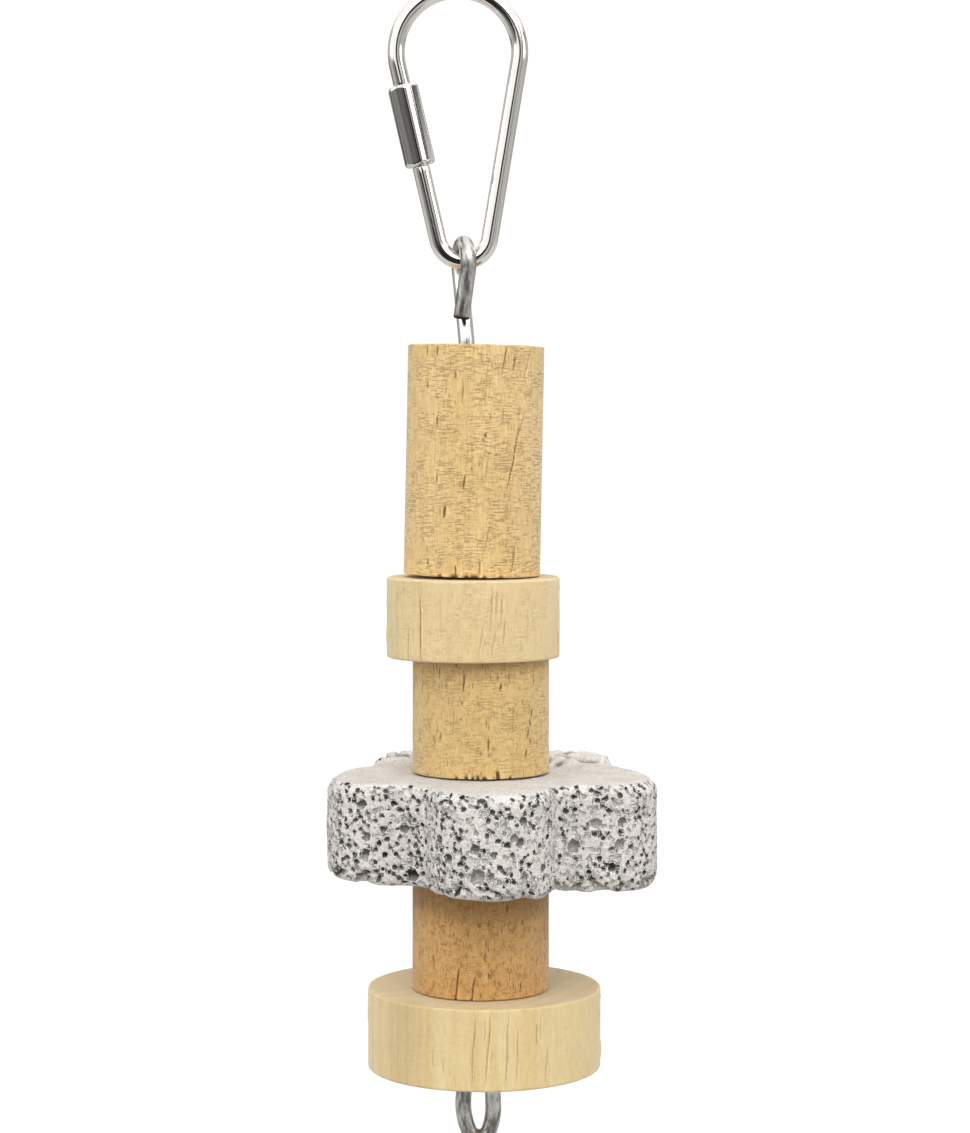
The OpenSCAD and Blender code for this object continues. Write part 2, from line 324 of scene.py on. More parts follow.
Station = namedtuple("Station", "length bend roll rings")


def run(run_length, rings=4):
    """A straight stretch of wire."""
    return Station(run_length, 0.0, 0.0, rings)


def bend(radius, turned, roll=0.0, rings=24):
    """A bend towards the wire's own +X, once it has rolled."""
    return Station(radius * turned, turned, roll, rings)


def along_station(station, gone):
    """How far one station has carried the wire."""
    if not station.bend:
        return Matrix.Translation((0, 0, gone))
    radius = station.length / station.bend
    turned = gone / radius
    moved = Matrix.Translation((radius * (1 - math.cos(turned)), 0, radius * math.sin(turned)))
    return moved @ Matrix.Rotation(turned, 4, "Y")


def place_on_wire(stations, start, gone):
    """The matrix that carries a ring to its place on the bent wire."""
    here = start.copy()
    rolled = 0.0
    for station in stations:
        here = here @ Matrix.Rotation(station.roll, 4, "Z")
        rolled += station.roll
        if gone <= station.length or station is stations[-1]:
            break
        here = here @ along_station(station, station.length)
        gone -= station.length
    return here @ along_station(station, gone) @ Matrix.Rotation(-rolled, 4, "Z")


def ring_stops(stations, threads, pitch):
    """Lengths along the wire at which it has a ring."""
    total = sum(station.length for station in stations)
    stops = {stop for stop, _ in WIRE_END} | {total - stop for stop, _ in WIRE_END}
    done = 0.0
    for station in stations:
        stops |= {done + station.length * step / station.rings for step in range(station.rings + 1)}
        done += station.length
    for first, last in threads:
        turns = math.ceil((last - first) / pitch * THREAD_STEPS)
        stops |= {first + (last - first) * step / turns for step in range(turns + 1)}
    least = WIRE_END[1][0] / 2
    kept = [0.0]
    for stop in sorted(stops):
        if least < stop - kept[-1] and stop <= total:
            kept.append(stop)
    return kept, total


def cut_thread(ring, gone, first, last, pitch, depth):
    """Cuts one ring of a screw thread, which runs out at both of its ends."""
    fade = min(1.0, (gone - first) / pitch, (last - gone) / pitch)
    for vert in ring:
        phase = gone / pitch + math.atan2(vert.co.y, vert.co.x) / TURN
        cut = depth * max(fade, 0) * abs(2 * (phase % 1) - 1)
        reach = math.hypot(vert.co.x, vert.co.y)
        vert.co.xy *= 1 - cut / reach


def draw_rings(bm, radius, sides, amount):
    """Extrudes a circle into rings, and gives them with the edges of the first and of the last."""
    rings = [bmesh.ops.create_circle(bm, radius=radius, segments=sides)["verts"]]
    edges = first_edges = bm.edges[:]
    for _ in range(amount - 1):
        grown = bmesh.ops.extrude_edge_only(bm, edges=edges)["geom"]
        rings.append([part for part in grown if isinstance(part, bmesh.types.BMVert)])
        fresh = set(rings[-1])
        edges = [part for part in grown if isinstance(part, bmesh.types.BMEdge)
                 and set(part.verts) <= fresh]
    return rings, first_edges, edges


def bent_wire(name, wire_d, stations, start, threads=(), pitch=MM, depth=0.0):
    """Draws a straight wire, notes each point's place on it, then bends it."""
    bm = bmesh.new()
    straight = bm.verts.layers.float_vector.new("straight")
    stops, total = ring_stops(stations, threads, pitch)
    rings, first_edges, last_edges = draw_rings(bm, wire_d / 2, WIRE_SIDES, len(stops))
    for stop, ring in zip(stops, rings):
        ease = np.interp(min(stop, total - stop), *zip(*WIRE_END))
        for vert in ring:
            vert.co.xy *= ease
            vert.co.z = stop
        for first, last in threads:
            if first <= stop <= last:
                cut_thread(ring, stop, first, last, pitch, depth)
        place = place_on_wire(stations, start, stop) @ Matrix.Translation((0, 0, -stop))
        for vert in ring:
            vert[straight] = vert.co
            vert.co = place @ vert.co
    for edges in (first_edges, last_edges):
        bmesh.ops.edgeloop_fill(bm, edges=edges)
    return mesh_of(bm, name, WIRE_SHARP)


def axes_at(place, across, ahead):
    """A frame at a place, with +X across and +Z ahead."""
    side = ahead.cross(across)
    turned = Matrix((across, side, ahead)).transposed().to_4x4()
    return Matrix.Translation(place) @ turned


def link_frame(sizes):
    """The leaning link's frame, with the middle of its top bend at zero."""
    seat_r = sizes.top_r - sizes.wire_d / 2
    return Matrix.Translation((0, 0, -seat_r)) @ Matrix.Rotation(-sizes.lean, 4, "Y")


def link_slant(sizes):
    """Slant of the link's two legs."""
    return math.asin((sizes.top_r - sizes.bottom_r) / sizes.bend_gap)


class GNAW_OT_screw_link(bpy.types.Operator):
    """Bend the pear-shaped link, with screw thread on both ends of its mouth"""

    bl_idname = "gnaw.screw_link"
    bl_label = "Bend screw link"

    def execute(self, context):
        sizes = context.scene.gnaw_link
        slant = link_slant(sizes)
        leg_l = sizes.bend_gap * math.cos(slant)
        upper_l = sizes.sleeve_drop + sizes.grip
        lower_l = leg_l - upper_l - sizes.mouth
        stations = [
            run(upper_l, 6),
            bend(sizes.top_r, math.pi + 2 * slant, rings=84),
            run(leg_l, 16),
            bend(sizes.bottom_r, math.pi - 2 * slant, rings=48),
            run(lower_l, 10),
        ]
        total = sum(station.length for station in stations)
        inwards = Vector((math.cos(slant), 0, math.sin(slant)))
        upwards = Vector((-math.sin(slant), 0, math.cos(slant)))
        upper_end = -sizes.top_r * inwards - upper_l * upwards
        start = link_frame(sizes) @ axes_at(upper_end, inwards, upwards)
        threads = [(0, sizes.grip), (total - sizes.thread_l, total)]
        mesh = bent_wire("wire_link", sizes.wire_d, stations, start, threads,
                         sizes.thread_pitch, sizes.thread_depth)
        set_piece(mesh, "link_body", "link", nickel_finish())
        return {"FINISHED"}


SLEEVE_SIDES = 6
SLEEVE_STEPS = 20
SLEEVE_ENDS = 9
SLEEVE_TURNED = 1.6
SLEEVE_SHARP = math.radians(40)
BORE_EASE = 0.25 * MM


def sleeve_reach(turned, inner, corner_r, crown):
    """Distance from the axis to the wall of a six-sided bar with rounded corners and swelling flats."""
    side = TURN / SLEEVE_SIDES
    off = abs((turned + side / 2) % side - side / 2)
    inner -= crown
    if inner * math.tan(off) <= (inner - corner_r) * math.tan(side / 2):
        across = math.tan(off) / math.tan(side / 2)
        return inner / math.cos(off) + crown * (1 - across * across)
    corner = (inner - corner_r) / math.cos(side / 2)
    from_corner = side / 2 - off
    return (corner * math.cos(from_corner)
            + math.sqrt(corner_r ** 2 - (corner * math.sin(from_corner)) ** 2))


def soft_least(one, other, blend):
    """The lesser of two lengths, with the change between them rounded."""
    near = max(blend - abs(one - other), 0) / blend
    return min(one, other) - near * near * blend / 4


class GNAW_OT_screw_sleeve(bpy.types.Operator):
    """Make the six-sided sleeve that closes the link's mouth"""

    bl_idname = "gnaw.screw_sleeve"
    bl_label = "Make screw sleeve"

    def execute(self, context):
        sizes = context.scene.gnaw_link
        bore_r = sizes.wire_d / 2 + sizes.sleeve_clearance
        inner = bore_r + sizes.sleeve_wall
        end_r = inner / math.cos(math.pi / SLEEVE_SIDES) - sizes.sleeve_bevel
        turned_l = sizes.sleeve_bevel * SLEEVE_TURNED
        ends = [turned_l * step / SLEEVE_ENDS for step in range(SLEEVE_ENDS + 1)]
        walls = [(stop, None) for stop in ends]
        walls += [(sizes.sleeve_l - stop, None) for stop in reversed(ends)]
        bore = [(sizes.sleeve_l, bore_r + BORE_EASE), (sizes.sleeve_l - BORE_EASE, bore_r),
                (BORE_EASE, bore_r), (0.0, bore_r + BORE_EASE)]
        bm = bmesh.new()
        straight = bm.verts.layers.float_vector.new("straight")
        rings, first_edges, last_edges = draw_rings(bm, MM, SLEEVE_SIDES * SLEEVE_STEPS, len(walls + bore))
        bmesh.ops.bridge_loops(bm, edges=first_edges + last_edges)
        for ring, (height, reach) in zip(rings, walls + bore):
            from_end = min(height, sizes.sleeve_l - height)
            for vert in ring:
                turned = math.atan2(vert.co.y, vert.co.x)
                flat = sleeve_reach(turned, inner, sizes.sleeve_round, sizes.sleeve_crown)
                out = reach or soft_least(flat, end_r + from_end, sizes.sleeve_bevel / 3)
                vert.co = Vector((out * math.cos(turned), out * math.sin(turned), height))
                vert[straight] = vert.co
        turn = sizes.sleeve_turn + math.pi / SLEEVE_SIDES
        on_leg = (Matrix.Rotation(math.pi - link_slant(sizes), 4, "Y")
                  @ Matrix.Translation((sizes.top_r, 0, sizes.sleeve_drop))
                  @ Matrix.Rotation(turn, 4, "Z"))
        bmesh.ops.transform(bm, matrix=link_frame(sizes) @ on_leg, verts=bm.verts[:])
        mesh = mesh_of(bm, "hex_sleeve", SLEEVE_SHARP)
        set_piece(mesh, "link_sleeve", "sleeve", sleeve_finish())
        return {"FINISHED"}


class GNAW_OT_wire_rod(bpy.types.Operator):
    """Bend the rod with an eye at each end"""

    bl_idname = "gnaw.wire_rod"
    bl_label = "Bend wire rod"

    def execute(self, context):
        sizes = context.scene.gnaw_rod
        slant = sizes.top_eye_slant
        knee_z = sizes.top_eye_z - sizes.top_eye_r / math.sin(slant)
        knee_lead = sizes.knee_r * math.tan(slant / 2)
        end_lead = sizes.end_bend_r * math.tan(sizes.top_end_lean / 2)
        eye_turned = math.pi + slant + sizes.top_end_slant
        stations = [
            run(sizes.bottom_end_l, 6),
            bend(sizes.belly_r, sizes.bottom_pinch + sizes.bottom_end_slant, rings=16),
            bend(sizes.bottom_eye_r, math.pi - 2 * sizes.bottom_pinch, rings=40),
            bend(sizes.belly_r, sizes.bottom_pinch, rings=12),
            run(knee_z - sizes.bottom_eye_z - knee_lead, 60),
            bend(sizes.knee_r, slant, sizes.top_eye_turn - math.pi / 2, rings=8),
            run(sizes.top_eye_r / math.tan(slant) - knee_lead, 8),
            bend(sizes.top_eye_r, eye_turned, math.pi, rings=56),
            bend(sizes.end_bend_r, sizes.top_end_lean, -math.pi / 2, rings=6),
            run(sizes.top_end_l / math.cos(sizes.top_end_lean) - end_lead, 10),
        ]
        down = -Vector((math.sin(sizes.bottom_end_slant), 0, math.cos(sizes.bottom_end_slant)))
        inwards = Vector((math.cos(sizes.bottom_end_slant), 0, -math.sin(sizes.bottom_end_slant)))
        foot_x = (sizes.belly_r - sizes.bottom_eye_r) * math.cos(sizes.bottom_pinch) - sizes.belly_r
        side = Vector((2 * foot_x + sizes.belly_r, 0, sizes.bottom_eye_z))
        free_end = side - sizes.belly_r * inwards - sizes.bottom_end_l * down
        pivot = Matrix.Translation(JOINTS["rod_swing"]["pos_m"])
        hung = pivot @ Matrix.Rotation(-sizes.lean, 4, "Y")
        mesh = bent_wire("bent_rod", sizes.wire_d, stations, hung @ axes_at(free_end, inwards, down))
        total = sum(station.length for station in stations)
        set_piece(mesh, "eye_rod", "rod", wire_finish(total))
        return {"FINISHED"}


# Wood

RIM_STEPS = 6
FACE_CUTS = 8
HOLE_CUTS = 2
WOOD_SHARP = math.radians(60)
WANDER = 0.16 * MM
GROOVE = 0.54
GROOVE_END = 0.4
LIP_OFF = 1.6
# Painted highlight: how much lighter the lip beside a mark is painted.
LIP_HIGHLIGHT = 2.5
DEEP_TINT = 2.2
# Painted shade on the end faces: how dark those of the short pieces and of the long dowel are painted, and
# how much darker towards the right.
END_SHADE = 0.13
LONG_END_SHADE = 0.6
SHADE_LEAN = 0.6
END_FACE = 0.01 * MM

# Shares of the radius from which the marks begin to tell, and tell in full
CARVED = (0.72, 0.97)

# Half turns between which marks are strewn, and the shares of the height
STREWN_TURNS = (0.42, 1.58)
STREWN_UP = (0.04, 0.96)

Mark = namedtuple("Mark", "across up length lean width depth stain")


def turned_blank(name, radius, hole_r, height, edge, edge_steps, cuts, columns):
    """Half section of a drilled round, worn at its rims, spun about its axis and cut finely."""
    bm = bmesh.new()
    corners = [bm.verts.new(place) for place in
               ((hole_r, 0, 0), (radius, 0, 0), (radius, 0, height), (hole_r, 0, height))]
    bmesh.ops.contextual_create(bm, geom=corners)
    bmesh.ops.bevel(bm, geom=corners[1:3], offset=edge, offset_type="OFFSET", segments=edge_steps,
                    profile=0.5, affect="VERTICES", material=-1)
    bmesh.ops.delete(bm, geom=bm.faces[:], context="FACES_ONLY")
    upright = [part for part in bm.edges
               if abs(part.verts[0].co.z - part.verts[1].co.z) > height / 2]
    level = [part for part in bm.edges
             if abs(part.verts[0].co.x - part.verts[1].co.x) > (radius - hole_r) / 2]
    wall = [part for part in upright if part.verts[0].co.x > (radius + hole_r) / 2]
    hole = [part for part in upright if part not in wall]
    top = [part for part in level if part.verts[0].co.z > height / 2]
    bottom = [part for part in level if part not in top]
    for parts, amount in zip((wall, top, bottom, hole), cuts):
        bmesh.ops.subdivide_edges(bm, edges=parts, cuts=amount)
    bmesh.ops.spin(bm, geom=bm.verts[:] + bm.edges[:], cent=(0, 0, 0), axis=(0, 0, 1),
                   angle=TURN, steps=SPIN_STEPS, use_merge=True)
    least = height / 1e4
    around = [part for part in bm.edges
              if abs(part.verts[0].co.z - part.verts[1].co.z) < least
              and abs(part.verts[0].co.xy.length - part.verts[1].co.xy.length) < least]
    bmesh.ops.subdivide_edges(bm, edges=around, cuts=round(columns / SPIN_STEPS) - 1)
    mesh = mesh_of(bm, name)
    points = read_rows(mesh.vertices, "co")
    half_step = math.pi / SPIN_STEPS
    off = np.arctan2(points[:, 1], points[:, 0]) % (2 * half_step) - half_step
    points[:, :2] *= (np.cos(off) / math.cos(half_step))[:, None]
    write_points(mesh, points)
    return mesh


def cut_mark(mark, around, up, radius, wander):
    """How deep a mark is at each point of the wall, from 0 to 1, and the raised lip beside it."""
    middle = math.asin(mark.across * MM / radius) * radius
    off = (around - middle + math.pi * radius) % (TURN * radius) - math.pi * radius
    rise = up - mark.up * MM
    lean = math.radians(mark.lean)
    along = off * math.sin(lean) + rise * math.cos(lean)
    aside = off * math.cos(lean) - rise * math.sin(lean) + wander * WANDER
    taper = np.clip(1 - np.abs(2 * along / (mark.length * MM)) ** 3, 0, 1)
    half_w = mark.width * MM * GROOVE * (GROOVE_END + (1 - GROOVE_END) * taper)
    groove = np.clip(1 - (aside / half_w) ** 2, 0, 1) * taper
    lip = np.exp(-((aside - LIP_OFF * half_w) / half_w) ** 2) * taper
    return groove, lip


def chance_marks(seed, amount, height):
    """Pores and a few cracks, strewn round the back and sides of a wall, each with its own turn."""
    draw = random.Random(seed)
    marks = []
    for _ in range(amount):
        turned = draw.uniform(*STREWN_TURNS) * math.pi
        size = draw.random() ** 3
        mark = Mark(0, draw.uniform(*STREWN_UP) * height / MM, 0.8 + 6 * size, draw.uniform(-3, 14),
                    0.25 + 0.15 * draw.random(), 0.1 + 0.15 * size, 0.35 + 0.5 * draw.random())
        marks.append((turned, mark))
    return marks


def carve_wood(mesh, radius, height, marks, sizes, seed, ridge, painted_end_shade):
    """Cuts the marks into a turned wall, and keeps how stained each point is: dirt and shade in the marks,
    a negative share on the lips beside them for painted highlight, and painted shade on the end faces.
    """
    points = read_rows(mesh.vertices, "co")
    turned, reach = about_axis(points)
    up = points[:, 2]
    wander = noise_at(points, 2.5 * MM, seed)
    cut, lift, stain, worn = np.zeros((4, len(points)))
    laid = [(0.0, mark) for mark in marks]
    laid += chance_marks(seed, round(radius * height / sizes.mark_room ** 2), height)
    for start, mark in laid:
        groove, lip = cut_mark(mark, (turned - start) * radius, up, radius, wander)
        cut = np.maximum(cut, groove * mark.depth * MM)
        lift = np.maximum(lift, lip * mark.depth * ridge * MM)
        tinted = np.minimum(DEEP_TINT * groove, 1) if mark.depth else groove
        stain = np.maximum(stain, tinted * mark.stain)
        # The lip beside each mark is painted lighter here, as painted highlight; worn holds that
        # highlight.
        worn = np.maximum(worn, lip * mark.depth * LIP_HIGHLIGHT)
    slow = noise_at(points * (1, 1, 0.4), 5 * MM, seed)
    cut += sizes.waviness * 0.5 * (1 + slow)
    outer = smooth_step(*CARVED, reach / radius)
    points[:, :2] *= (1 - outer * (cut - lift) / reach)[:, None]
    write_points(mesh, points)
    # Lips take a negative stain, which the material paints as highlight where no mark darkens them.
    stain = (stain - np.where(stain > 0.05, 0, worn)) * outer
    # The end faces are painted with shade, darker towards the right.
    ends = (up < END_FACE) | (up > height - END_FACE)
    end_shade = painted_end_shade * (1 + SHADE_LEAN * points[:, 0] / radius)
    write_values(mesh, "stain", np.where(ends, np.maximum(stain, end_shade), stain))


def axis_place(joint, height):
    """Where a turned piece stands: its underside on the axis that it spins about, at that height."""
    turned = Vector((0, 0, 1)).rotation_difference(Vector(joint["axis"])).to_matrix().to_4x4()
    return Matrix.Translation(joint["pos_m"]) @ turned @ Matrix.Translation((0, 0, height))


# Marks seen from the front: millimetres across from the axis and up from the underside, length, lean in
# degrees, width, depth and how dark they are. Those at the rims are chips. The lower dowel's last, wide
# mark
# is painted shadow: it darkens the top of that dowel under the stone.
MARKS = {
    "long_dowel": [
        (6.9, 20.5, 12.6, 12.5, 0.34, 0.35, 0.75), (8.2, 26.6, 5, 14, 0.28, 0.2, 0.4),
        (5.0, 37.6, 4.6, 9, 0.32, 0.3, 0.7), (6.7, 36.8, 3, 4, 0.34, 0.3, 0.7),
        (8.9, 36.6, 6.6, 16, 0.3, 0.2, 0.45), (7.3, 3.3, 5.4, 9, 0.32, 0.3, 0.6),
        (9.8, 12.3, 6.4, 15, 0.28, 0.15, 0.35), (6.1, 12.4, 5, 12, 0.26, 0.1, 0.3),
        (2.6, 6.6, 5.4, 12, 0.28, 0.12, 0.4), (1.4, 1.6, 3.2, 3, 0.32, 0.2, 0.6),
        (2.2, 19, 6, 8, 0.26, 0.12, 0.3), (2.0, 33.5, 9, 4, 0.26, 0.1, 0.3),
        (-8.4, 38.8, 2, 2, 0.3, 0.2, 0.75), (-6.6, 38.8, 2, 2, 0.3, 0.2, 0.75),
        (-8.2, 33, 1.3, -4, 0.34, 0.2, 0.75), (-6.4, 26.6, 2.2, 7, 0.3, 0.2, 0.7),
        (-6.3, 16.8, 1.8, 5, 0.32, 0.2, 0.7), (-1.6, 16.4, 2.8, 3, 0.34, 0.25, 0.8),
        (-4.8, 11.2, 2.4, 8, 0.55, 0.35, 0.9), (-5.6, 11.3, 1.8, -2, 0.3, 0.2, 0.5),
        (-2.1, 31.8, 4.6, -1, 0.28, 0.15, 0.5), (-3.5, 34.6, 1.4, 0, 0.4, 0.25, 0.8),
        (-7.6, 2.4, 1.2, 0, 0.36, 0.2, 0.7), (-2.8, 1.2, 2, -3, 0.36, 0.25, 0.8),
        (1.9, 24.5, 0.8, 20, 0.55, 0.2, 0.9), (1.6, 23.7, 0.6, 60, 0.4, 0.15, 0.8),
        (-0.4, 18.6, 0.5, 0, 0.35, 0.15, 0.9), (-5.6, 0, 0.8, 0, 0.9, 0.5, 0.8),
        (-3, 0, 1.2, 0, 1.4, 0.6, 0.9), (-0.9, 0, 0.8, 0, 1, 0.5, 0.9), (0.5, 0, 0.9, 0, 1.6, 0.6, 0.9),
        (2.3, 0, 0.6, 0, 0.9, 0.4, 0.8), (5.2, 0, 0.7, 0, 1.1, 0.4, 0.7),
    ],
    "small_disc": [
        (-9.0, 6, 12.6, -1.5, 0.34, 0.25, 0.6), (-11.1, 3, 6, 1, 0.28, 0.15, 0.45),
        (-13.1, 6.7, 13, 0, 0.4, 0.1, 0.2), (3.2, 9.4, 7, 2, 0.45, 0.16, 0.2),
        (4.1, 9.8, 6.4, 1, 0.4, 0.16, 0.16), (5.0, 8.8, 6, 3, 0.4, 0.16, 0.2),
        (3.6, 3.4, 6, 9, 0.36, 0.12, 0.16), (1.4, 3.6, 6.6, 8, 0.36, 0.12, 0.16),
        (5.4, 5.2, 5, 5, 0.3, 0.14, 0.3), (-5.5, 8, 8, 1, 0.5, 0.06, 0.08),
        (9.5, 7, 10, 2, 0.6, 0.05, 0.06),
    ],
    "middle_dowel": [
        (-2.9, 16.6, 3.2, 1, 0.36, 0.25, 0.8), (1.3, 5.9, 2.8, 2, 0.34, 0.2, 0.75),
        (-6.8, 7.2, 1.5, 4, 0.34, 0.2, 0.75), (-9.2, 13.5, 2, 3, 0.3, 0.15, 0.6),
        (8.8, 11, 1.6, 12, 0.4, 0.15, 0.95), (8.5, 9.4, 1.4, -14, 0.4, 0.15, 0.95),
        (8.2, 7.6, 1.8, 10, 0.36, 0.15, 0.95), (8.6, 6.2, 1.2, -20, 0.36, 0.15, 0.9),
        (7.8, 4.3, 1.5, 14, 0.4, 0.15, 0.95), (9.2, 17.5, 5, 6, 0.28, 0.12, 0.35),
        (3.4, 15.8, 1.2, 15, 0.5, 0.2, 0.9), (-4.6, 10, 5, 2, 0.28, 0.1, 0.35),
        (5.6, 10, 4, 4, 0.28, 0.1, 0.35), (3, 0.2, 2.8, -4, 0.7, 0.7, 0.95),
        (-0.4, 0, 1.4, 0, 0.7, 0.5, 0.85), (-1.3, 0, 1, 0, 0.6, 0.5, 0.85),
        (-2.4, 0, 1.4, 0, 0.8, 0.5, 0.85), (-4.2, 0, 0.9, 0, 0.6, 0.4, 0.8),
        (0.7, 0, 0.8, 0, 0.9, 0.5, 0.8), (5.2, 0, 0.7, 0, 0.6, 0.4, 0.7),
    ],
    "lower_dowel": [
        (-4.0, 2.6, 6.4, 5, 0.36, 0.3, 0.85), (-1.2, 2, 5, 10, 0.36, 0.25, 0.75),
        (-6.6, 12.4, 1.4, 70, 0.45, 0.15, 0.7), (4.6, 15.6, 1.4, 8, 0.45, 0.2, 0.8),
        (0.9, 7.7, 2.4, 4, 0.3, 0.15, 0.65), (-6.2, 9.4, 2, 80, 0.35, 0.12, 0.6),
        (7.4, 3.6, 3, 20, 0.3, 0.12, 0.5), (-8.2, 1.6, 2.4, 40, 0.35, 0.12, 0.5),
        (3.4, 2.4, 1.6, 60, 0.35, 0.12, 0.5), (-4.2, 0, 1.4, 0, 0.5, 0.4, 0.8),
        # The second mark on the next line is painted shadow, darkening the top of the lower dowel under
        # the stone.
        (-1.6, 0, 1, 0, 0.5, 0.4, 0.8), (0, 18.5, 200, 90, 11, 0, 0.55),
    ],
    "large_disc": [
        (-1.8, 7, 13, 4, 0.29, 0.17, 0.3), (0.7, 7.2, 12.6, 4, 0.32, 0.18, 0.32),
        (0.1, 10.2, 5.4, 2, 0.23, 0.12, 0.25), (3.9, 7, 13, 3, 0.29, 0.18, 0.32),
        (5.6, 6, 10, 3, 0.26, 0.15, 0.25), (8.9, 9.4, 4.4, 3, 0.29, 0.15, 0.3),
        (9.6, 10.4, 4.6, 2, 0.23, 0.12, 0.2), (10.6, 4.4, 7, 4, 0.21, 0.14, 0.4),
        (-8.7, 5.4, 3.6, 2, 0.21, 0.12, 0.4), (-6.9, 4.4, 2.6, 2, 0.21, 0.12, 0.4),
        (-9.6, 9, 5, 1, 0.26, 0.08, 0.15), (12.4, 7, 9, 3, 0.29, 0.06, 0.12),
        (-13.5, 7, 60, 0, 12, 0, 0.22),
    ],
}


def wooden_piece(name, node, edge, material, seed, ridge=0.15, long_h=0.0):
    """Turns, carves and places one wooden piece, whose body has its node's name. The long one leans."""
    sizes = bpy.context.scene.gnaw_wood
    low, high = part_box(node)
    leaning = long_h > 0
    height = long_h or high.z - low.z
    radius = sizes.dowel_d / 2 if leaning else (high.x - low.x) / 2
    cuts = (round(height / sizes.row_h), FACE_CUTS, FACE_CUTS, HOLE_CUTS)
    columns = round(TURN * radius / sizes.column_w)
    mesh = turned_blank(name, radius, sizes.hole_d / 2, height, edge, RIM_STEPS, cuts, columns)
    marks = [Mark(*row) for row in MARKS[node]]
    # The end faces get painted shade, heavier on the long dowel.
    carve_wood(mesh, radius, height, marks, sizes, seed, ridge, LONG_END_SHADE if leaning else END_SHADE)
    if leaning:
        place = axis_place(JOINTS["long_dowel_spin"], -height / 2)
    else:
        place = Matrix.Translation(((low.x + high.x) / 2, (low.y + high.y) / 2, low.z))
    mesh.transform(place)
    mesh.set_sharp_from_angle(angle=WOOD_SHARP)
    set_piece(mesh, node, node, material)


class GNAW_OT_dowels(bpy.types.Operator):
    """Turn the long dowel and the two short ones"""

    bl_idname = "gnaw.dowels"
    bl_label = "Turn dowels"

    def execute(self, context):
        sizes = context.scene.gnaw_wood
        colours = context.scene.gnaw_finishes
        edge = sizes.dowel_edge
        pale = wood_finish("pale_wood", colours.pale_wood, "long_dowel", (-5, 40), fibre=1.0, saw=1.0,
                           pores=0.55, mottle=0.15, rings=0.25)
        tan = wood_finish("tan_wood", colours.tan_wood, "middle_dowel", (12, 30), fibre=0.6, saw=0.6,
                          pores=1.0, mottle=0.4, rings=0.35)
        brown = wood_finish("brown_wood", colours.brown_wood, "lower_dowel", (-16, 22), fibre=0.5, saw=0.3,
                            pores=1.5, mottle=1.0, rings=0.6)
        wooden_piece("dowel_long", "long_dowel", edge, pale, 3, long_h=sizes.dowel_h)
        wooden_piece("dowel_middle", "middle_dowel", edge, tan, 5)
        wooden_piece("dowel_lower", "lower_dowel", edge, brown, 8)
        return {"FINISHED"}


ROSIER = (0.96, 0.925, 0.92)
# The large disc's cream is tinted yellower, and darkened as painted shade against the light that the floor
# bounces onto it.
YELLOWER_SHADED = (0.905, 0.89, 0.87)


class GNAW_OT_discs(bpy.types.Operator):
    """Turn the small disc and the large one"""

    bl_idname = "gnaw.discs"
    bl_label = "Turn discs"

    def execute(self, context):
        edge = context.scene.gnaw_wood.disc_edge
        cream = context.scene.gnaw_finishes.cream_wood
        rosier = np.multiply(cream, ROSIER)
        small = wood_finish("small_cream_wood", rosier, "small_disc", (-20, 26), fibre=0.45, saw=0.28,
                            pores=0.3, mottle=0.2, rings=0.3)
        # Painted shade: the large disc's copy of the cream is darker, and yellower.
        yellower_shaded = np.multiply(cream, YELLOWER_SHADED)
        large = wood_finish("large_cream_wood_shaded", yellower_shaded, "large_disc", (-30, 16), fibre=0.4, saw=0.15,
                            pores=0.2, mottle=0.15, rings=0.6)
        wooden_piece("disc_small", "small_disc", edge, small, 13, 0.7)
        wooden_piece("disc_large", "large_disc", edge, large, 21, 1.0)
        return {"FINISHED"}


# Stone

STONE_COLUMNS = 768
STONE_EDGE_STEPS = 14
STONE_CUTS = (46, 29, 16, HOLE_CUTS)
STONE_SEED = 17
PORE_WALL = 0.26 * MM
PORE_BIAS = 1.7
DARK_SHARE = 0.62
PORE_REACH = 1.9
PORE_RIM = 0.3 * MM
BACK = (math.radians(60), math.radians(95))
FRONT_STEPS = 721
Pore = namedtuple("Pore", "place radius depth shade stretch way")

# Spread of the larger pits over a lobe's wall, as in the frame: each share steps by its own turn
PIT_ARC = math.radians(116)
PIT_TURN = 0.755
PIT_CLIMB = 0.57
PIT_GROW = 0.731
LOBE_SHIFT = 0.293
PIT_SHARE = 0.7
PIT_DEPTH = 0.65
PIT_STRETCH = 0.3
PIT_WAY = Vector((0.5, 0.5, 0.7))

# How deep the stone is worn all over, its lumps, its grain, its crumbled rim and its chips
WEAR = 0.15 * MM
LUMPS = 0.16 * MM
GRAIN = 0.08 * MM
CRUMBS = 2.8 * MM
CHIPS = 1.0 * MM

HOLLOW_DEPTH = 0.9
HOLLOW_WAY = Vector((0.8, 0, 0.6))

# Hollows seen from the front: millimetres across from the stone's axis and up from its underside,
# radius and shade
HOLLOWS = [
    (-13.9, 2.2, 1.2, 1.0), (-2.7, 4.2, 1.3, 0.55), (-3.0, 8.6, 0.8, 0.8), (-7.6, 6.8, 0.8, 0.9),
    (13.7, 7.6, 1.1, 0.6), (20.2, 4.2, 0.7, 1.0), (3.7, 10.4, 0.7, 0.6), (-15, 10, 0.7, 0.8),
    (-18.6, 9.8, 0.6, 0.9), (-21.8, 5.6, 0.8, 0.9), (17.4, 11.2, 0.9, 0.5), (8.6, 5.2, 0.7, 0.8),
]


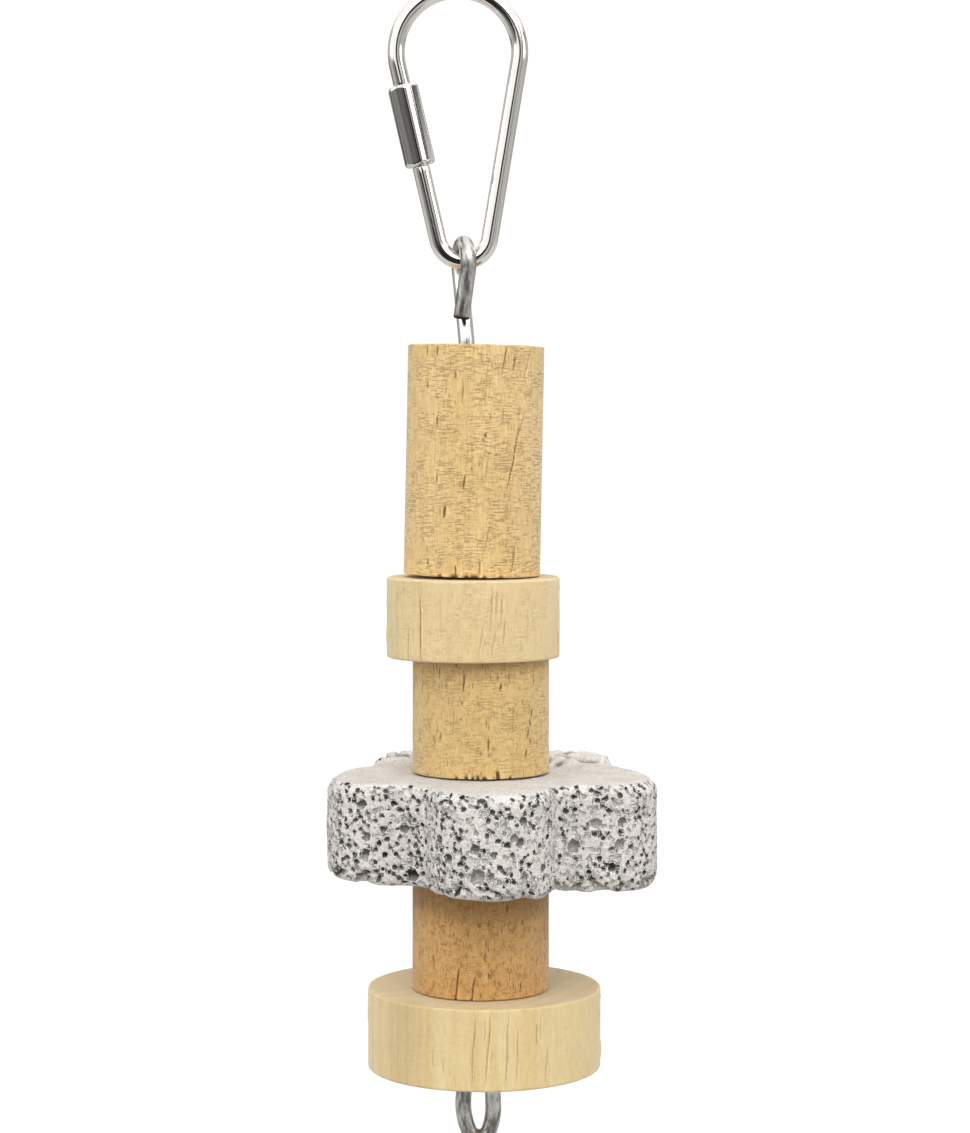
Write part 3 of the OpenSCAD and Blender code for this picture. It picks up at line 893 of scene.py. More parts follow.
def flower_reach(turned, sizes):
    """Distance from the stone's axis to its wall, lobes running softly into each other."""
    step = TURN / sizes.lobes
    off = (turned - sizes.turn + step / 2) % step - step / 2
    across = sizes.lobe_reach * np.sin(off)
    lobe = sizes.lobe_reach * np.cos(off) + np.sqrt(np.maximum(sizes.lobe_r ** 2 - across ** 2, 0))
    behind = smooth_step(*BACK, np.abs(turned))
    notch = sizes.notch_r + sizes.back_fill * behind
    near = np.maximum(sizes.crease - np.abs(lobe - notch), 0) / sizes.crease
    return np.maximum(lobe, notch) + near * near * sizes.crease / 4


def flower_stone(mesh, hole_r, sizes):
    """Draws the round blank in to its lobes."""
    points = read_rows(mesh.vertices, "co")
    turned, reach = about_axis(points)
    full = sizes.lobe_reach + sizes.lobe_r
    target = flower_reach(turned, sizes)
    inset = full - reach
    flat = (reach - hole_r) / (full - sizes.edge - hole_r)
    moved = np.where(inset <= sizes.edge, target - inset, hole_r + flat * (target - sizes.edge - hole_r))
    points[:, :2] *= (moved / reach)[:, None]
    write_points(mesh, points)


def wall_places(turned, up, height, sizes):
    """Points of the stone's wall and of its rounded rims, before weathering."""
    over = np.maximum(np.maximum(sizes.edge - up, up - height + sizes.edge), 0)
    reach = flower_reach(turned, sizes) - sizes.edge + np.sqrt(sizes.edge ** 2 - over ** 2)
    return np.stack((reach * np.sin(turned), -reach * np.cos(turned), up), axis=-1)


def larger_pits(height, sizes):
    """The frame's own pits in each lobe, then the hollows that show in front."""
    pits = []
    flat_h = height - 2 * sizes.edge
    for lobe, pit in itertools.product(range(sizes.lobes), range(sizes.lobe_pits)):
        shift = lobe * LOBE_SHIFT
        off = PIT_ARC * ((pit * PIT_TURN + shift) % 1 - 0.5)
        radius = sizes.pit_min_r + (sizes.pit_max_r - sizes.pit_min_r) * ((pit * PIT_GROW + shift) % 1)
        up = sizes.edge + flat_h * ((pit * PIT_CLIMB + 2 * shift) % 1)
        out = Matrix.Rotation(sizes.turn - math.pi / 2 + lobe * TURN / sizes.lobes, 4, "Z")
        out_x = sizes.lobe_reach + sizes.lobe_r * math.cos(off)
        place = out @ Vector((out_x, sizes.lobe_r * math.sin(off), up))
        shade = 0.55 + 0.4 * ((pit * PIT_CLIMB + shift) % 1)
        pits.append(Pore(place, PIT_SHARE * radius, PIT_DEPTH * radius, shade, PIT_STRETCH, PIT_WAY))
    turns = np.linspace(-math.pi / 2, math.pi / 2, FRONT_STEPS)
    shown = np.sin(turns) * flower_reach(turns, sizes)
    for across, up, radius, shade in HOLLOWS:
        turned = np.interp([across * MM], shown, turns)
        place = wall_places(turned, np.array([up * MM]), height, sizes)[0]
        pits.append(Pore(Vector(place), radius * MM, HOLLOW_DEPTH * radius * MM, shade, PIT_STRETCH,
                         HOLLOW_WAY))
    return pits


def smaller_pores(height, sizes, pits):
    """Pores of chance places, sizes and shapes in the wall, the larger first and none over another."""
    draw = random.Random(STONE_SEED)
    most = len(pits) + sizes.wall_pores
    spots = np.full((most, 3), 1.0)
    radii = np.zeros(most)
    for index, pit in enumerate(pits):
        spots[index] = pit.place
        radii[index] = pit.radius
    pores = []
    span = sizes.most_pore - sizes.least_pore
    drawn = [sizes.least_pore + span * draw.random() ** PORE_BIAS for _ in range(sizes.wall_pores)]
    turned = np.array([draw.uniform(-math.pi, math.pi) for _ in drawn])
    up = np.array([draw.uniform(0.1 * sizes.edge, height - 0.1 * sizes.edge) for _ in drawn])
    places = wall_places(turned, up, height, sizes)
    for radius, place in zip(sorted(drawn, reverse=True), places):
        done = len(pits) + len(pores)
        apart = np.sqrt(((spots[:done] - place) ** 2).sum(axis=1)) - radii[:done] - radius
        if apart.min() < PORE_WALL:
            continue
        spots[done] = place
        radii[done] = radius
        way = Vector((draw.gauss(0, 1), draw.gauss(0, 1), draw.gauss(0, 1))).normalized()
        shade = draw.uniform(0.85, 1) if draw.random() < DARK_SHARE else draw.uniform(0.2, 0.5)
        pores.append(Pore(Vector(place), radius, radius * shade * draw.uniform(1, 1.6), shade,
                          draw.uniform(0, 0.6), way))
    return pores


def sink_pores(points, pores):
    """For each point: how deep its pore sinks it, how far within and which way off the pore's middle it
    lies in pore radii, and the pore's shade."""
    tree = KDTree(len(points))
    for index, point in enumerate(points):
        tree.insert(point, index)
    tree.balance()
    sunk = np.zeros(len(points))
    within = np.full(len(points), -1.0)
    pull = np.full((len(points), 3), 2.0)
    shade = np.zeros(len(points))
    for pore in pores:
        reach = max(PORE_REACH * pore.radius, pore.radius + PORE_RIM)
        near = np.array([index for _, index, _ in tree.find_range(pore.place, reach)])
        way = np.array(pore.way)
        off = points[near] - np.array(pore.place)
        off -= (1 - math.sqrt(1 - pore.stretch)) * (off @ way)[:, None] * way
        off /= pore.radius
        away = np.sqrt((off ** 2).sum(axis=1))
        sunk[near] = np.maximum(sunk[near], pore.depth * np.clip(1 - away ** 3, 0, 1))
        nearer = 1 - away > within[near]
        shade[near[nearer]] = pore.shade
        pull[near[nearer]] = off[nearer]
        within[near] = np.maximum(within[near], 1 - away)
    return sunk, within, pull, shade


def weather_stone(mesh, height, hole_r, sizes):
    """Breaks up the smooth stone: sagging lobes, lumps, a crumbled lower rim, a chipped back and pores."""
    points = read_rows(mesh.vertices, "co")
    normals = read_rows(mesh.vertex_normals, "vector")
    x, y, z = points.T
    _, reach = about_axis(points)
    from_hole = reach - hole_r
    from_seat = reach - sizes.seat_r
    wall = smooth_step(0.35, 0.75, np.hypot(normals[:, 0], normals[:, 1]))
    wall *= smooth_step(0.5 * MM, 3 * MM, from_hole)
    pits = larger_pits(height, sizes)
    pores = smaller_pores(height, sizes, pits)
    sunk, within, pull, shade = sink_pores(points, pits + pores)
    lumps = layered_noise(points, (5, 1, 0.5), (1.7, 2, 0.35))
    grain = 1 + layered_noise(points, (0.6, 3, 1))
    rough = WEAR + LUMPS * lumps + GRAIN * wall * grain
    rim = smooth_step(0, 5 * MM, from_seat) * (1 - smooth_step(0.5 * MM, 3.5 * MM, z))
    crumbs = layered_noise(points, (2, 4, 1)) + wall * layered_noise(points, (0.8, 5, 0.8))
    rough += CRUMBS * rim * (0.3 + 0.7 * wall) * np.clip(crumbs - 0.03, 0, 1)
    broken = smooth_step(3 * MM, 12 * MM, y) * smooth_step(0.5 * height, height, z)
    broken *= smooth_step(0, 2 * MM, from_seat)
    chips = broken * np.clip(0.35 + layered_noise(points, (2, 6, 1), (1.2, 7, 0.5)), 0, 1.2)
    rough += CHIPS * chips
    outside = smooth_step(0.5 * MM, 2 * MM, from_hole)
    depth = outside * (np.clip(rough, 0, None) + sunk)
    low = (1 - z / height) * smooth_step(0, 6 * MM, from_seat) * (1 + 0.8 * x / sizes.lobe_reach)
    high = z / height * smooth_step(0, 5 * MM, from_seat) * smooth_step(-8 * MM, 12 * MM, y)
    moved = points - normals * depth[:, None]
    moved[:, 2] += sizes.rise * high - sizes.sag * low
    write_points(mesh, moved)
    write_values(mesh, "within", within)
    write_values(mesh, "pull", pull, "FLOAT_VECTOR", "vector")
    write_values(mesh, "shade", outside * shade)
    write_values(mesh, "wall", np.maximum(wall, 0.6 * broken))
    # The deeper places of the chips, which the material paints with shade.
    write_values(mesh, "chipped", smooth_step(0.4, 0.8, chips))


class GNAW_OT_lava_stone(bpy.types.Operator):
    """Shape the flower-shaped stone and open its pores"""

    bl_idname = "gnaw.lava_stone"
    bl_label = "Shape lava stone"

    def execute(self, context):
        sizes = context.scene.gnaw_stone
        hole_r = context.scene.gnaw_wood.hole_d / 2
        low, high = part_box("lava_stone")
        height = high.z - low.z
        mesh = turned_blank("stone_flower", sizes.lobe_reach + sizes.lobe_r, hole_r, height, sizes.edge,
                            STONE_EDGE_STEPS, STONE_CUTS, STONE_COLUMNS)
        flower_stone(mesh, hole_r, sizes)
        weather_stone(mesh, height, hole_r, sizes)
        mesh.transform(Matrix.Translation(JOINTS["stone_spin"]["pos_m"]))
        set_piece(mesh, "lava_stone", "lava_stone", pumice_finish())
        return {"FINISHED"}


# Finishes

# Tints of the wood, as shares of its own colour
DULL_BLOTCH = (0.66, 0.53, 0.36)
CLEAR_BLOTCH = (1.15, 1.17, 1.22)
LATE_WOOD = (0.90, 0.83, 0.68)
PALE_CLOUD = (1.06, 1.07, 1.12)
SAW_LINE = (0.82, 0.72, 0.54)
# Painted highlight on raised ridges and on the lips beside marks.
RIDGE_HIGHLIGHT = (1.11, 1.12, 1.16)

# Colours of the rod's eyes and of its sheared ends
TARNISH = (0.11, 0.102, 0.09, 1)
SHEARED = (0.05, 0.047, 0.043, 1)

# Relief of the materials, and how far noise bends the stone's finer pores
GRAIN_DEPTH = 0.14 * MM
STONE_DEPTH = 0.45 * MM
PORE_WARP = 0.7 * MM


class Nodes:
    """Adds nodes to one tree, and hands on their results."""

    def __init__(self, tree):
        self.tree = tree

    def fill(self, node, values):
        """Links results to a node's inputs, or sets them to plain values."""
        for name, value in values.items():
            if isinstance(value, bpy.types.NodeSocket):
                self.tree.links.new(value, node.inputs[name])
            else:
                node.inputs[name].default_value = value

    def add(self, kind, values=None, **settings):
        """A node with its settings and inputs."""
        node = self.tree.nodes.new("ShaderNode" + kind)
        for name, value in settings.items():
            setattr(node, name, value)
        self.fill(node, values or {})
        return node

    def maths(self, operation, first, second=0.0, **settings):
        """One sum."""
        return self.add("Math", {0: first, 1: second}, operation=operation, **settings).outputs[0]

    times = partialmethod(maths, "MULTIPLY")
    plus = partialmethod(maths, "ADD")
    minus = partialmethod(maths, "SUBTRACT")
    most = partialmethod(maths, "MAXIMUM")
    least = partialmethod(maths, "MINIMUM")
    amount = partialmethod(maths, "ABSOLUTE")

    def vector(self, operation, first, second=(0, 0, 0)):
        """One sum of vectors."""
        node = self.add("VectorMath", {0: first, 1: second}, operation=operation)
        return node.outputs["Value" if operation == "LENGTH" else "Vector"]

    def ease(self, value, low, high, to_low=0.0, to_high=1.0):
        """Eases a value from one range to another."""
        values = {"Value": value, "From Min": low, "From Max": high, "To Min": to_low, "To Max": to_high}
        return self.add("MapRange", values, interpolation_type="SMOOTHSTEP").outputs["Result"]

    def noise(self, place, scale, detail=2.0, rough=0.5):
        """Noise with its own scale along each axis."""
        mapped = self.add("Mapping", {"Vector": place, "Scale": scale}).outputs[0]
        values = {"Vector": mapped, "Scale": 1.0, "Detail": detail, "Roughness": rough}
        return self.add("TexNoise", values).outputs["Fac"]

    def mix(self, factor, first, second, blend="MIX"):
        """A mix of two colours."""
        values = {0: factor, 6: first, 7: second}
        return self.add("Mix", values, data_type="RGBA", blend_type=blend).outputs[2]

    def tint(self, toned, factor, by):
        """A colour, tinted to a share by another."""
        return self.mix(factor, toned, self.mix(1.0, toned, (*by, 1), "MULTIPLY"))

    def attribute(self, name, output="Fac"):
        """What the mesh keeps per point."""
        return self.add("Attribute", attribute_name=name).outputs[output]

    def place(self):
        """Where a point lies on its object."""
        return self.add("TexCoord").outputs["Object"]

    def bump(self, height, distance):
        """Relief of that real height."""
        values = {"Height": height, "Distance": distance, "Strength": 1.0}
        return self.add("Bump", values).outputs["Normal"]

    def group(self, name, build, values):
        """The results of a shared node group, which is built the first time that it is asked for."""
        tree = bpy.data.node_groups.get(name) or build(name)
        return self.add("Group", values, node_tree=tree).outputs

    def white_to_camera(self, kind, shader):
        """White where the camera looks, and the given shader for all other light."""
        white = self.add(kind, {"Color": (1, 1, 1, 1), "Strength": BACKDROP}).outputs[0]
        seen = self.add("LightPath").outputs["Is Camera Ray"]
        return self.add("MixShader", {0: seen, 1: shader, 2: white}).outputs[0]


def new_group(name, inputs, outputs):
    """An empty node group with sockets named by kind: its nodes, what it is given and its end node."""
    tree = bpy.data.node_groups.new(name, "ShaderNodeTree")
    for way, kinds in (("INPUT", inputs), ("OUTPUT", outputs)):
        for kind, names in kinds.items():
            for socket in names.split():
                tree.interface.new_socket(socket, in_out=way, socket_type="NodeSocket" + kind)
    return Nodes(tree), tree.nodes.new("NodeGroupInput").outputs, tree.nodes.new("NodeGroupOutput")


def new_finish(name):
    """An empty material, its nodes and its Principled BSDF."""
    material = bpy.data.materials.new(name)
    material.use_nodes = True
    return material, Nodes(material.node_tree), material.node_tree.nodes["Principled BSDF"]


def wood_group(name):
    """Fibres, growth streaks, pores and saw marks of bare wood whose grain runs along Z, with the ridges
    between saw lines and the lips beside marks painted lighter as highlight.
    """
    nodes, given, end = new_group(
        name,
        {"Vector": "Vector Pith", "Color": "Wood Stain", "Float": "Fibre Saw Pores Mottle Rings Marked"},
        {"Color": "Color", "Float": "Roughness Height"})
    place = given["Vector"]
    fibre = nodes.noise(place, (3400, 3400, 330), 5, 0.7)
    cloud = nodes.noise(place, (110, 110, 60), 3)
    blotch = nodes.noise(place, (1300, 1300, 900), 6, 0.8)
    pore = nodes.ease(nodes.noise(place, (3900, 3900, 480), 1), 0.67, 0.74)
    speck = nodes.ease(nodes.noise(place, (2600, 2600, 2000), 1), 0.72, 0.79)
    dots = nodes.times(nodes.most(pore, speck), given["Pores"])
    saw = nodes.noise(place, (600, 600, 5200), 3, 0.6)
    saw_patch = nodes.ease(nodes.noise(place, (240, 240, 240), 3), 0.34, 0.58)
    sawn_here = nodes.times(saw_patch, given["Saw"])
    saw_line = nodes.times(nodes.ease(saw, 0.55, 0.60), sawn_here)
    saw_ridge_highlight = nodes.times(nodes.ease(saw, 0.45, 0.40), sawn_here)
    from_pith = nodes.vector("SUBTRACT", place, given["Pith"])
    level = nodes.vector("MULTIPLY", from_pith, (1, 1, 0.03))
    grown = nodes.plus(nodes.vector("LENGTH", level), nodes.times(cloud, 2.5 * MM))
    values = {"W": nodes.times(grown, 520.0), "Scale": 1.0, "Detail": 3.0}
    ring = nodes.add("TexNoise", values, noise_dimensions="1D").outputs["Fac"]
    light = nodes.times(nodes.ease(fibre, 0.3, 0.7, -0.16, 0.12), given["Fibre"])
    toned = nodes.mix(1.0, given["Wood"], nodes.plus(light, 1.0), "MULTIPLY")
    toned = nodes.tint(toned, nodes.times(nodes.ease(blotch, 0.5, 0.64), given["Mottle"]), DULL_BLOTCH)
    toned = nodes.tint(toned, nodes.times(nodes.ease(blotch, 0.46, 0.34), given["Mottle"]), CLEAR_BLOTCH)
    toned = nodes.tint(toned, nodes.times(nodes.ease(ring, 0.38, 0.68), given["Rings"]), LATE_WOOD)
    toned = nodes.tint(toned, nodes.ease(cloud, 0.4, 0.75), PALE_CLOUD)
    toned = nodes.tint(toned, nodes.times(saw_line, 0.9), SAW_LINE)
    # Painted highlight: the lips beside marks, kept as a negative stain, and the ridges between saw lines
    # are tinted lighter.
    lip_highlights = nodes.ease(given["Marked"], -0.02, -0.35)
    toned = nodes.tint(toned, nodes.most(saw_ridge_highlight, lip_highlights), RIDGE_HIGHLIGHT)
    toned = nodes.mix(nodes.times(dots, 0.65), toned, given["Stain"])
    toned = nodes.mix(nodes.times(given["Marked"], 0.95, use_clamp=True), toned, given["Stain"])
    low = nodes.plus(nodes.times(saw_line, 0.7), dots)
    nodes.fill(end, {
        "Color": toned,
        "Roughness": nodes.ease(fibre, 0.2, 0.8, 0.5, 0.68),
        "Height": nodes.minus(nodes.times(fibre, 0.8), low),
    })
    return nodes.tree


def wood_finish(name, wood, node, pith, **amounts):
    """Bare wood, its pattern centred on one piece and its rings on a pith beside that, in millimetres."""
    low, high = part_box(node)
    material, nodes, shader = new_finish(name)
    centred = nodes.add("Mapping", {"Vector": nodes.place(), "Location": -(low + high) / 2}).outputs[0]
    values = {amount.capitalize(): value for amount, value in amounts.items()}
    grain = nodes.group("Bare wood", wood_group, values | {
        "Vector": centred,
        "Pith": (pith[0] * MM, pith[1] * MM, 0),
        "Wood": (*wood, 1),
        "Stain": (*bpy.context.scene.gnaw_finishes.stain, 1),
        "Marked": nodes.attribute("stain"),
    })
    nodes.fill(shader, {
        "Base Color": grain["Color"],
        "Roughness": grain["Roughness"],
        "Normal": nodes.bump(grain["Height"], GRAIN_DEPTH),
        "Specular IOR Level": 0.35,
        "Sheen Weight": 0.4,
        "Sheen Roughness": 0.35,
    })
    return material


def pore_group(name):
    """Open bubbles of one size range, each with its own share of its cell."""
    nodes, given, end = new_group(name, {"Vector": "Vector", "Float": "Scale Least Most"},
                                  {"Float": "Pore Rim"})
    bent = nodes.add("TexNoise", {"Vector": given["Vector"], "Scale": 900.0, "Detail": 1.0})
    pushed = nodes.vector("MULTIPLY", bent.outputs["Color"], (PORE_WARP,) * 3)
    warped = nodes.vector("ADD", given["Vector"], pushed)
    values = {"Vector": warped, "Scale": given["Scale"], "Randomness": 1.0}
    cells = nodes.add("TexVoronoi", values, feature="F1").outputs
    chance = nodes.add("SeparateColor", {"Color": cells["Color"]}).outputs[0]
    span = nodes.minus(given["Most"], given["Least"])
    reach = nodes.plus(nodes.times(nodes.maths("POWER", chance, 1.5), span), given["Least"])
    inside = nodes.minus(reach, cells["Distance"])
    nodes.fill(end, {"Pore": nodes.ease(inside, 0.0, 0.09), "Rim": nodes.ease(inside, -0.12, 0.0)})
    return nodes.tree


def pumice_finish():
    """Porous light grey stone, denser in pores on its broken wall than on its rubbed faces. Its pores and
    the deeper hollows of its chips are painted with shade, fullest at the upper side of each modelled
    pore, and the pore rims with painted highlight.
    """
    colours = bpy.context.scene.gnaw_finishes
    material, nodes, shader = new_finish("pumice")
    place = nodes.place()
    wall = nodes.attribute("wall")
    pull = nodes.attribute("pull", "Vector")
    ragged = nodes.ease(nodes.noise(place, (1500, 1500, 1500), 3, 0.6), 0.32, 0.68, -0.36, 0.30)
    edge = nodes.plus(nodes.minus(1.0, nodes.vector("LENGTH", pull)), ragged)
    owned = nodes.ease(nodes.attribute("within"), -0.75, -0.45)
    inside = nodes.times(nodes.ease(edge, -0.08, 0.4), owned)
    above = nodes.add("SeparateXYZ", {"Vector": pull}).outputs["Z"]
    # Painted shade: the modelled pores are painted dark, fully in their upper half and less towards the
    # bottom, where light from above reaches.
    dark = nodes.times(nodes.ease(above, -0.9, 0.0, 0.66, 1.0), nodes.attribute("shade"))
    hollow_shade = nodes.times(nodes.times(nodes.ease(edge, 0.0, 0.1), owned), dark)
    middling = nodes.group("Open pores", pore_group,
                           {"Vector": place, "Scale": 1250, "Least": -0.2, "Most": 0.40})
    small = nodes.group("Open pores", pore_group,
                        {"Vector": place, "Scale": 2300, "Least": -0.15, "Most": 0.45})
    on_wall = nodes.ease(wall, 0.0, 0.6, 0.25, 1.0)
    # Painted shade: the finer pores, which have only bump and no depth, and the deeper chip hollows are
    # painted dark.
    shaded = nodes.most(nodes.times(middling["Pore"], 0.5), nodes.times(small["Pore"], 0.3))
    # The chipped attribute marks deep chip hollows, painted with shade here.
    shaded = nodes.most(nodes.times(shaded, on_wall), nodes.times(nodes.attribute("chipped"), 0.7))
    # Painted highlight: the rims round the pores are painted lighter.
    rim = nodes.most(nodes.times(nodes.ease(edge, -0.5, -0.05), owned), middling["Rim"])
    rim = nodes.times(nodes.most(rim, small["Rim"]), on_wall)
    cloud = nodes.noise(place, (260, 260, 260), 4)
    grain = nodes.noise(place, (2500, 2500, 2500), 4, 0.75)
    light = nodes.plus(nodes.ease(cloud, 0.3, 0.7, 0.86, 0.98), nodes.ease(grain, 0.32, 0.68, -0.2, 0.15))
    light = nodes.plus(light, nodes.times(rim, 0.12))
    light = nodes.times(light, nodes.ease(wall, 0.0, 0.6, 0.90, 1.07))
    bare = nodes.mix(1.0, (*colours.pumice, 1), light, "MULTIPLY")
    # The painted shade of all pores and chips, mixed towards the pore colour.
    deep = nodes.times(nodes.most(hollow_shade, shaded), 0.97)
    low = nodes.minus(nodes.times(grain, 0.8), nodes.most(shaded, inside))
    nodes.fill(shader, {
        "Base Color": nodes.mix(deep, bare, (*colours.pore, 1)),
        "Roughness": 0.92,
        "Specular IOR Level": 0.2,
        "Normal": nodes.bump(low, STONE_DEPTH),
    })
    return material


def wire_group(name):
    """Draw marks that run along a wire, and the mottled bloom across them."""
    nodes, given, end = new_group(name, {"Vector": "Vector", "Float": "Roughness Bloom"},
                                  {"Float": "Streak Bloom Roughness"})
    streak = nodes.noise(given["Vector"], (5200, 5200, 130), 3)
    bloom = nodes.ease(nodes.noise(given["Vector"], (1500, 1500, 380), 5, 0.6), 0.42, 0.68)
    spread = nodes.times(bloom, given["Bloom"])
    rough = nodes.plus(nodes.times(streak, 0.10), given["Roughness"])
    rough = nodes.plus(rough, nodes.times(spread, 0.14))
    nodes.fill(end, {"Streak": streak, "Bloom": spread, "Roughness": rough})
    return nodes.tree


def metal_finish(name, metal, worn_to, rough, bloom, brushed, relief, spread=(1, 1, 1)):
    """Metal with draw marks on coordinates that follow its length, worn to a share of its brightness."""
    material, nodes, shader = new_finish(name)
    drawn = nodes.vector("MULTIPLY", nodes.attribute("straight", "Vector"), spread)
    values = {"Vector": drawn, "Roughness": rough, "Bloom": bloom}
    marks = nodes.group("Drawn metal", wire_group, values)
    worn = nodes.most(marks["Bloom"], nodes.ease(marks["Streak"], 0.4, 0.7, 0.0, brushed))
    dark = [worn_to * part for part in metal]
    nodes.fill(shader, {
        "Base Color": nodes.mix(worn, (*metal, 1), (*dark, 1)),
        "Roughness": marks["Roughness"],
        "Normal": nodes.bump(marks["Streak"], relief),
        "Metallic": 1.0,
    })
    return material


def nickel_finish():
    """Polished nickel plate on the link's wire."""
    metal = bpy.context.scene.gnaw_finishes.nickel
    return metal_finish("link_nickel", metal, 0.84, 0.04, 0.35, 0.3, 0.003 * MM)


def sleeve_finish():
    """Polished nickel plate on the sleeve."""
    metal = bpy.context.scene.gnaw_finishes.nickel
    return metal_finish("sleeve_nickel", metal, 0.42, 0.02, 0.3, 1.0, 0.03 * MM, (0.22, 0.22, 0.06))


def wire_finish(total):
    """Satin steel of the rod, tarnished where it is bent into eyes, with dark sheared ends."""
    metal = bpy.context.scene.gnaw_finishes.wire
    material = metal_finish("rod_wire", metal, 0.6, 0.18, 0.7, 0.0, 0.012 * MM)
    nodes = Nodes(material.node_tree)
    shader = material.node_tree.nodes["Principled BSDF"]
    tone, rough = [shader.inputs[name].links[0].from_socket for name in ("Base Color", "Roughness")]
    place = nodes.attribute("straight", "Vector")
    along = nodes.add("SeparateXYZ", {"Vector": place}).outputs["Z"]
    from_end = nodes.least(along, nodes.minus(total, along))
    eye = nodes.ease(from_end, EYE_WIRE + EYE_FADE, EYE_WIRE)
    cut = nodes.ease(from_end, 0.6 * MM, 0.35 * MM)
    stains = nodes.noise(place, (1100, 1100, 300), 5, 0.7)
    dull = nodes.times(eye, nodes.ease(stains, 0.4, 0.62, 0.22, 0.88))
    satin = nodes.plus(rough, nodes.times(eye, 0.14))
    nodes.fill(shader, {
        "Base Color": nodes.mix(cut, nodes.mix(dull, tone, TARNISH), SHEARED),
        "Roughness": nodes.most(satin, nodes.times(cut, 0.7)),
    })
    return material


# Stage

BACKDROP = 1.05
ROOM_POWER = 1.12
SENSOR_W = 36

# Soft boxes that face the stick: name, place, width, height and watts
LAMPS = (
    ("key_box", (0.07, -0.85, 0.55), 1.2, 0.6, 7.2),
    ("top_box", (0.1, 0.15, 0.75), 1.0, 1.0, 1.0),
)


def lay_floor(settings, low):
    """Plain pale floor under the hanging stick, its edges out of the camera's view."""
    bm = bmesh.new()
    half = settings.floor_w / 2
    place = (0, half - settings.floor_front, low.z - settings.floor_drop)
    bmesh.ops.create_grid(bm, x_segments=8, y_segments=8, size=half)
    bmesh.ops.translate(bm, verts=bm.verts[:], vec=place)
    floor = put_in_scene("pale_floor", mesh_of(bm, "pale_floor"))
    material, nodes, shader = new_finish("pale_floor")
    cloud = nodes.add("TexNoise", {"Vector": nodes.place(), "Scale": 2.0, "Detail": 2.0}).outputs["Fac"]
    light = nodes.ease(cloud, 0.3, 0.7, 0.98, 1.0)
    plain = (*bpy.context.scene.gnaw_finishes.floor, 1)
    nodes.fill(shader, {"Base Color": nodes.mix(1.0, plain, light, "MULTIPLY"), "Roughness": 0.9})
    mixed = nodes.white_to_camera("Emission", shader.outputs[0])
    nodes.fill(material.node_tree.nodes["Material Output"], {"Surface": mixed})
    floor.data.materials.append(material)


def hang_lamp(name, place, wide, high, watts, target):
    """One soft box, turned to its target."""
    lamp = bpy.data.lights.new(name, "AREA")
    lamp.shape = "RECTANGLE"
    lamp.size = wide
    lamp.size_y = high
    lamp.energy = watts
    stand = put_in_scene(name, lamp)
    stand.location = place
    stand.rotation_euler = (target - Vector(place)).to_track_quat("-Z", "Y").to_euler()


def light_room():
    """White backdrop, and for all other light a bright sky, a panel at the left, bright sides and a dim,
    striped ground. Each range is of one part of a direction, from -1 to 1."""
    world = bpy.data.worlds.new("studio")
    bpy.context.scene.world = world
    world.use_nodes = True
    world.node_tree.nodes.clear()
    nodes = Nodes(world.node_tree)
    way = nodes.add("TexCoord").outputs["Generated"]
    x, y, z = nodes.add("SeparateXYZ", {"Vector": way}).outputs
    panel = nodes.times(nodes.ease(x, -0.06, -0.14), nodes.ease(y, 0.05, -0.05))
    panel = nodes.times(panel, nodes.ease(z, 0.02, 0.08))
    flank = nodes.times(nodes.ease(nodes.amount(x), 0.74, 0.82, 0.0, 2.6), nodes.ease(y, -0.12, -0.24))
    sides = nodes.most(flank, nodes.ease(y, -0.3, -0.1, 0.0, 0.5))
    sides = nodes.times(sides, nodes.ease(z, -0.02, 0.12))
    sky = nodes.ease(z, 0.3, 0.5)
    stripe = nodes.amount(nodes.minus(x, 0.65))
    right = nodes.least(nodes.ease(x, 0.18, 0.32, 0.02, 0.5), nodes.ease(stripe, 0.06, 0.16, 0.26, 0.5))
    left = nodes.most(nodes.ease(x, -0.54, -0.76, 0.02, 0.22), nodes.ease(x, -0.85, -0.97, 0.0, 0.45))
    power = sides
    for other in (panel, sky, left, right):
        power = nodes.most(power, other)
    bar = nodes.amount(nodes.minus(x, 0.92))
    power = nodes.times(power, nodes.ease(bar, 0.007, 0.016, 0.03, 1.0))
    values = {"Color": (1, 0.99, 0.97, 1), "Strength": nodes.times(power, ROOM_POWER)}
    room = nodes.add("Background", values).outputs[0]
    nodes.add("OutputWorld", {"Surface": nodes.white_to_camera("Background", room)})


def set_camera(settings):
    """Level view of the photograph, with part of its drop made by tilt and part by shift."""
    focal_pixels = settings.camera_distance * PIXELS_PER_METRE
    drop = (PHOTO_H / 2 - settings.horizon_row) / PHOTO_H
    tilt = math.atan((drop - settings.view_shift) * PHOTO_H / focal_pixels)
    lens = bpy.data.cameras.new("photo_camera")
    lens.sensor_width = SENSOR_W
    lens.lens = focal_pixels * SENSOR_W / PHOTO_H
    lens.shift_y = -settings.view_shift
    lens.clip_start = 0.01
    lens.clip_end = 20
    camera = put_in_scene("photo_camera", lens)
    camera.location = ((PHOTO_W / 2 - settings.axis_column) / PIXELS_PER_METRE,
                       -settings.camera_distance, -settings.horizon_row / PIXELS_PER_METRE)
    camera.rotation_euler = (math.pi / 2 - tilt, 0, 0)
    bpy.context.scene.camera = camera


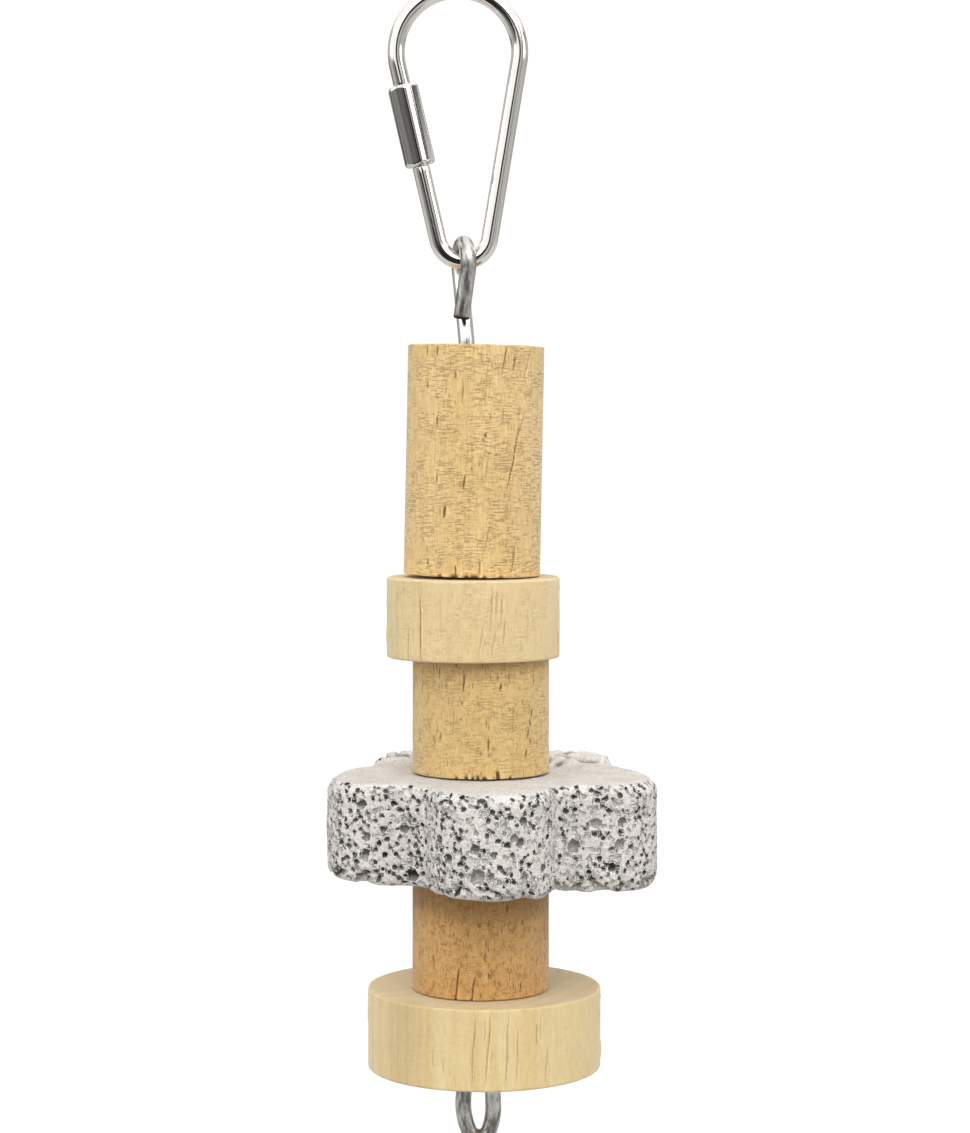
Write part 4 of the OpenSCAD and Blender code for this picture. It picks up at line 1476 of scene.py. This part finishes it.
class GNAW_OT_stage(bpy.types.Operator):
    """Lay the pale floor, light the studio and set the camera"""

    bl_idname = "gnaw.stage"
    bl_label = "Set stage"

    def execute(self, context):
        settings = context.scene.gnaw_stage
        low, high = CAD_BOX
        lay_floor(settings, low)
        light_room()
        for lamp in LAMPS:
            hang_lamp(*lamp, target=(low + high) / 2)
        set_camera(settings)
        context.scene.view_settings.view_transform = "Standard"
        return {"FINISHED"}


OPERATORS = (GNAW_OT_screw_link, GNAW_OT_screw_sleeve, GNAW_OT_wire_rod, GNAW_OT_dowels,
             GNAW_OT_discs, GNAW_OT_lava_stone, GNAW_OT_stage)
GROUPS = {
    "gnaw_link": ScrewLinkSizes,
    "gnaw_rod": WireRodSizes,
    "gnaw_wood": WoodSizes,
    "gnaw_stone": StoneSizes,
    "gnaw_finishes": Finishes,
    "gnaw_stage": StageSettings,
}


class GNAW_PT_panel(bpy.types.Panel):
    """Steps that build the gnawing stick, and its sizes"""

    bl_idname = "GNAW_PT_panel"
    bl_label = "Gnawing stick"
    bl_space_type = "VIEW_3D"
    bl_region_type = "UI"
    bl_category = "Gnawing stick"

    def draw(self, context):
        for operator in OPERATORS:
            self.layout.operator(operator.bl_idname)
        for name, group in GROUPS.items():
            box = self.layout.box()
            box.label(text=group.__doc__)
            for size in group.__annotations__:
                box.prop(getattr(context.scene, name), size)


def register():
    for group in GROUPS.values():
        bpy.utils.register_class(group)
    for name, group in GROUPS.items():
        setattr(bpy.types.Scene, name, PointerProperty(type=group))
    for made in (*OPERATORS, GNAW_PT_panel):
        bpy.utils.register_class(made)


def unregister():
    for made in (GNAW_PT_panel, *reversed(OPERATORS)):
        bpy.utils.unregister_class(made)
    for name in GROUPS:
        delattr(bpy.types.Scene, name)
    for group in GROUPS.values():
        bpy.utils.unregister_class(group)


def main():
    """Builds every piece and the stage."""
    register()
    bpy.ops.gnaw.screw_link()
    bpy.ops.gnaw.screw_sleeve()
    bpy.ops.gnaw.wire_rod()
    bpy.ops.gnaw.dowels()
    bpy.ops.gnaw.discs()
    bpy.ops.gnaw.lava_stone()
    bpy.ops.gnaw.stage()


if __name__ == "__main__":
    main()
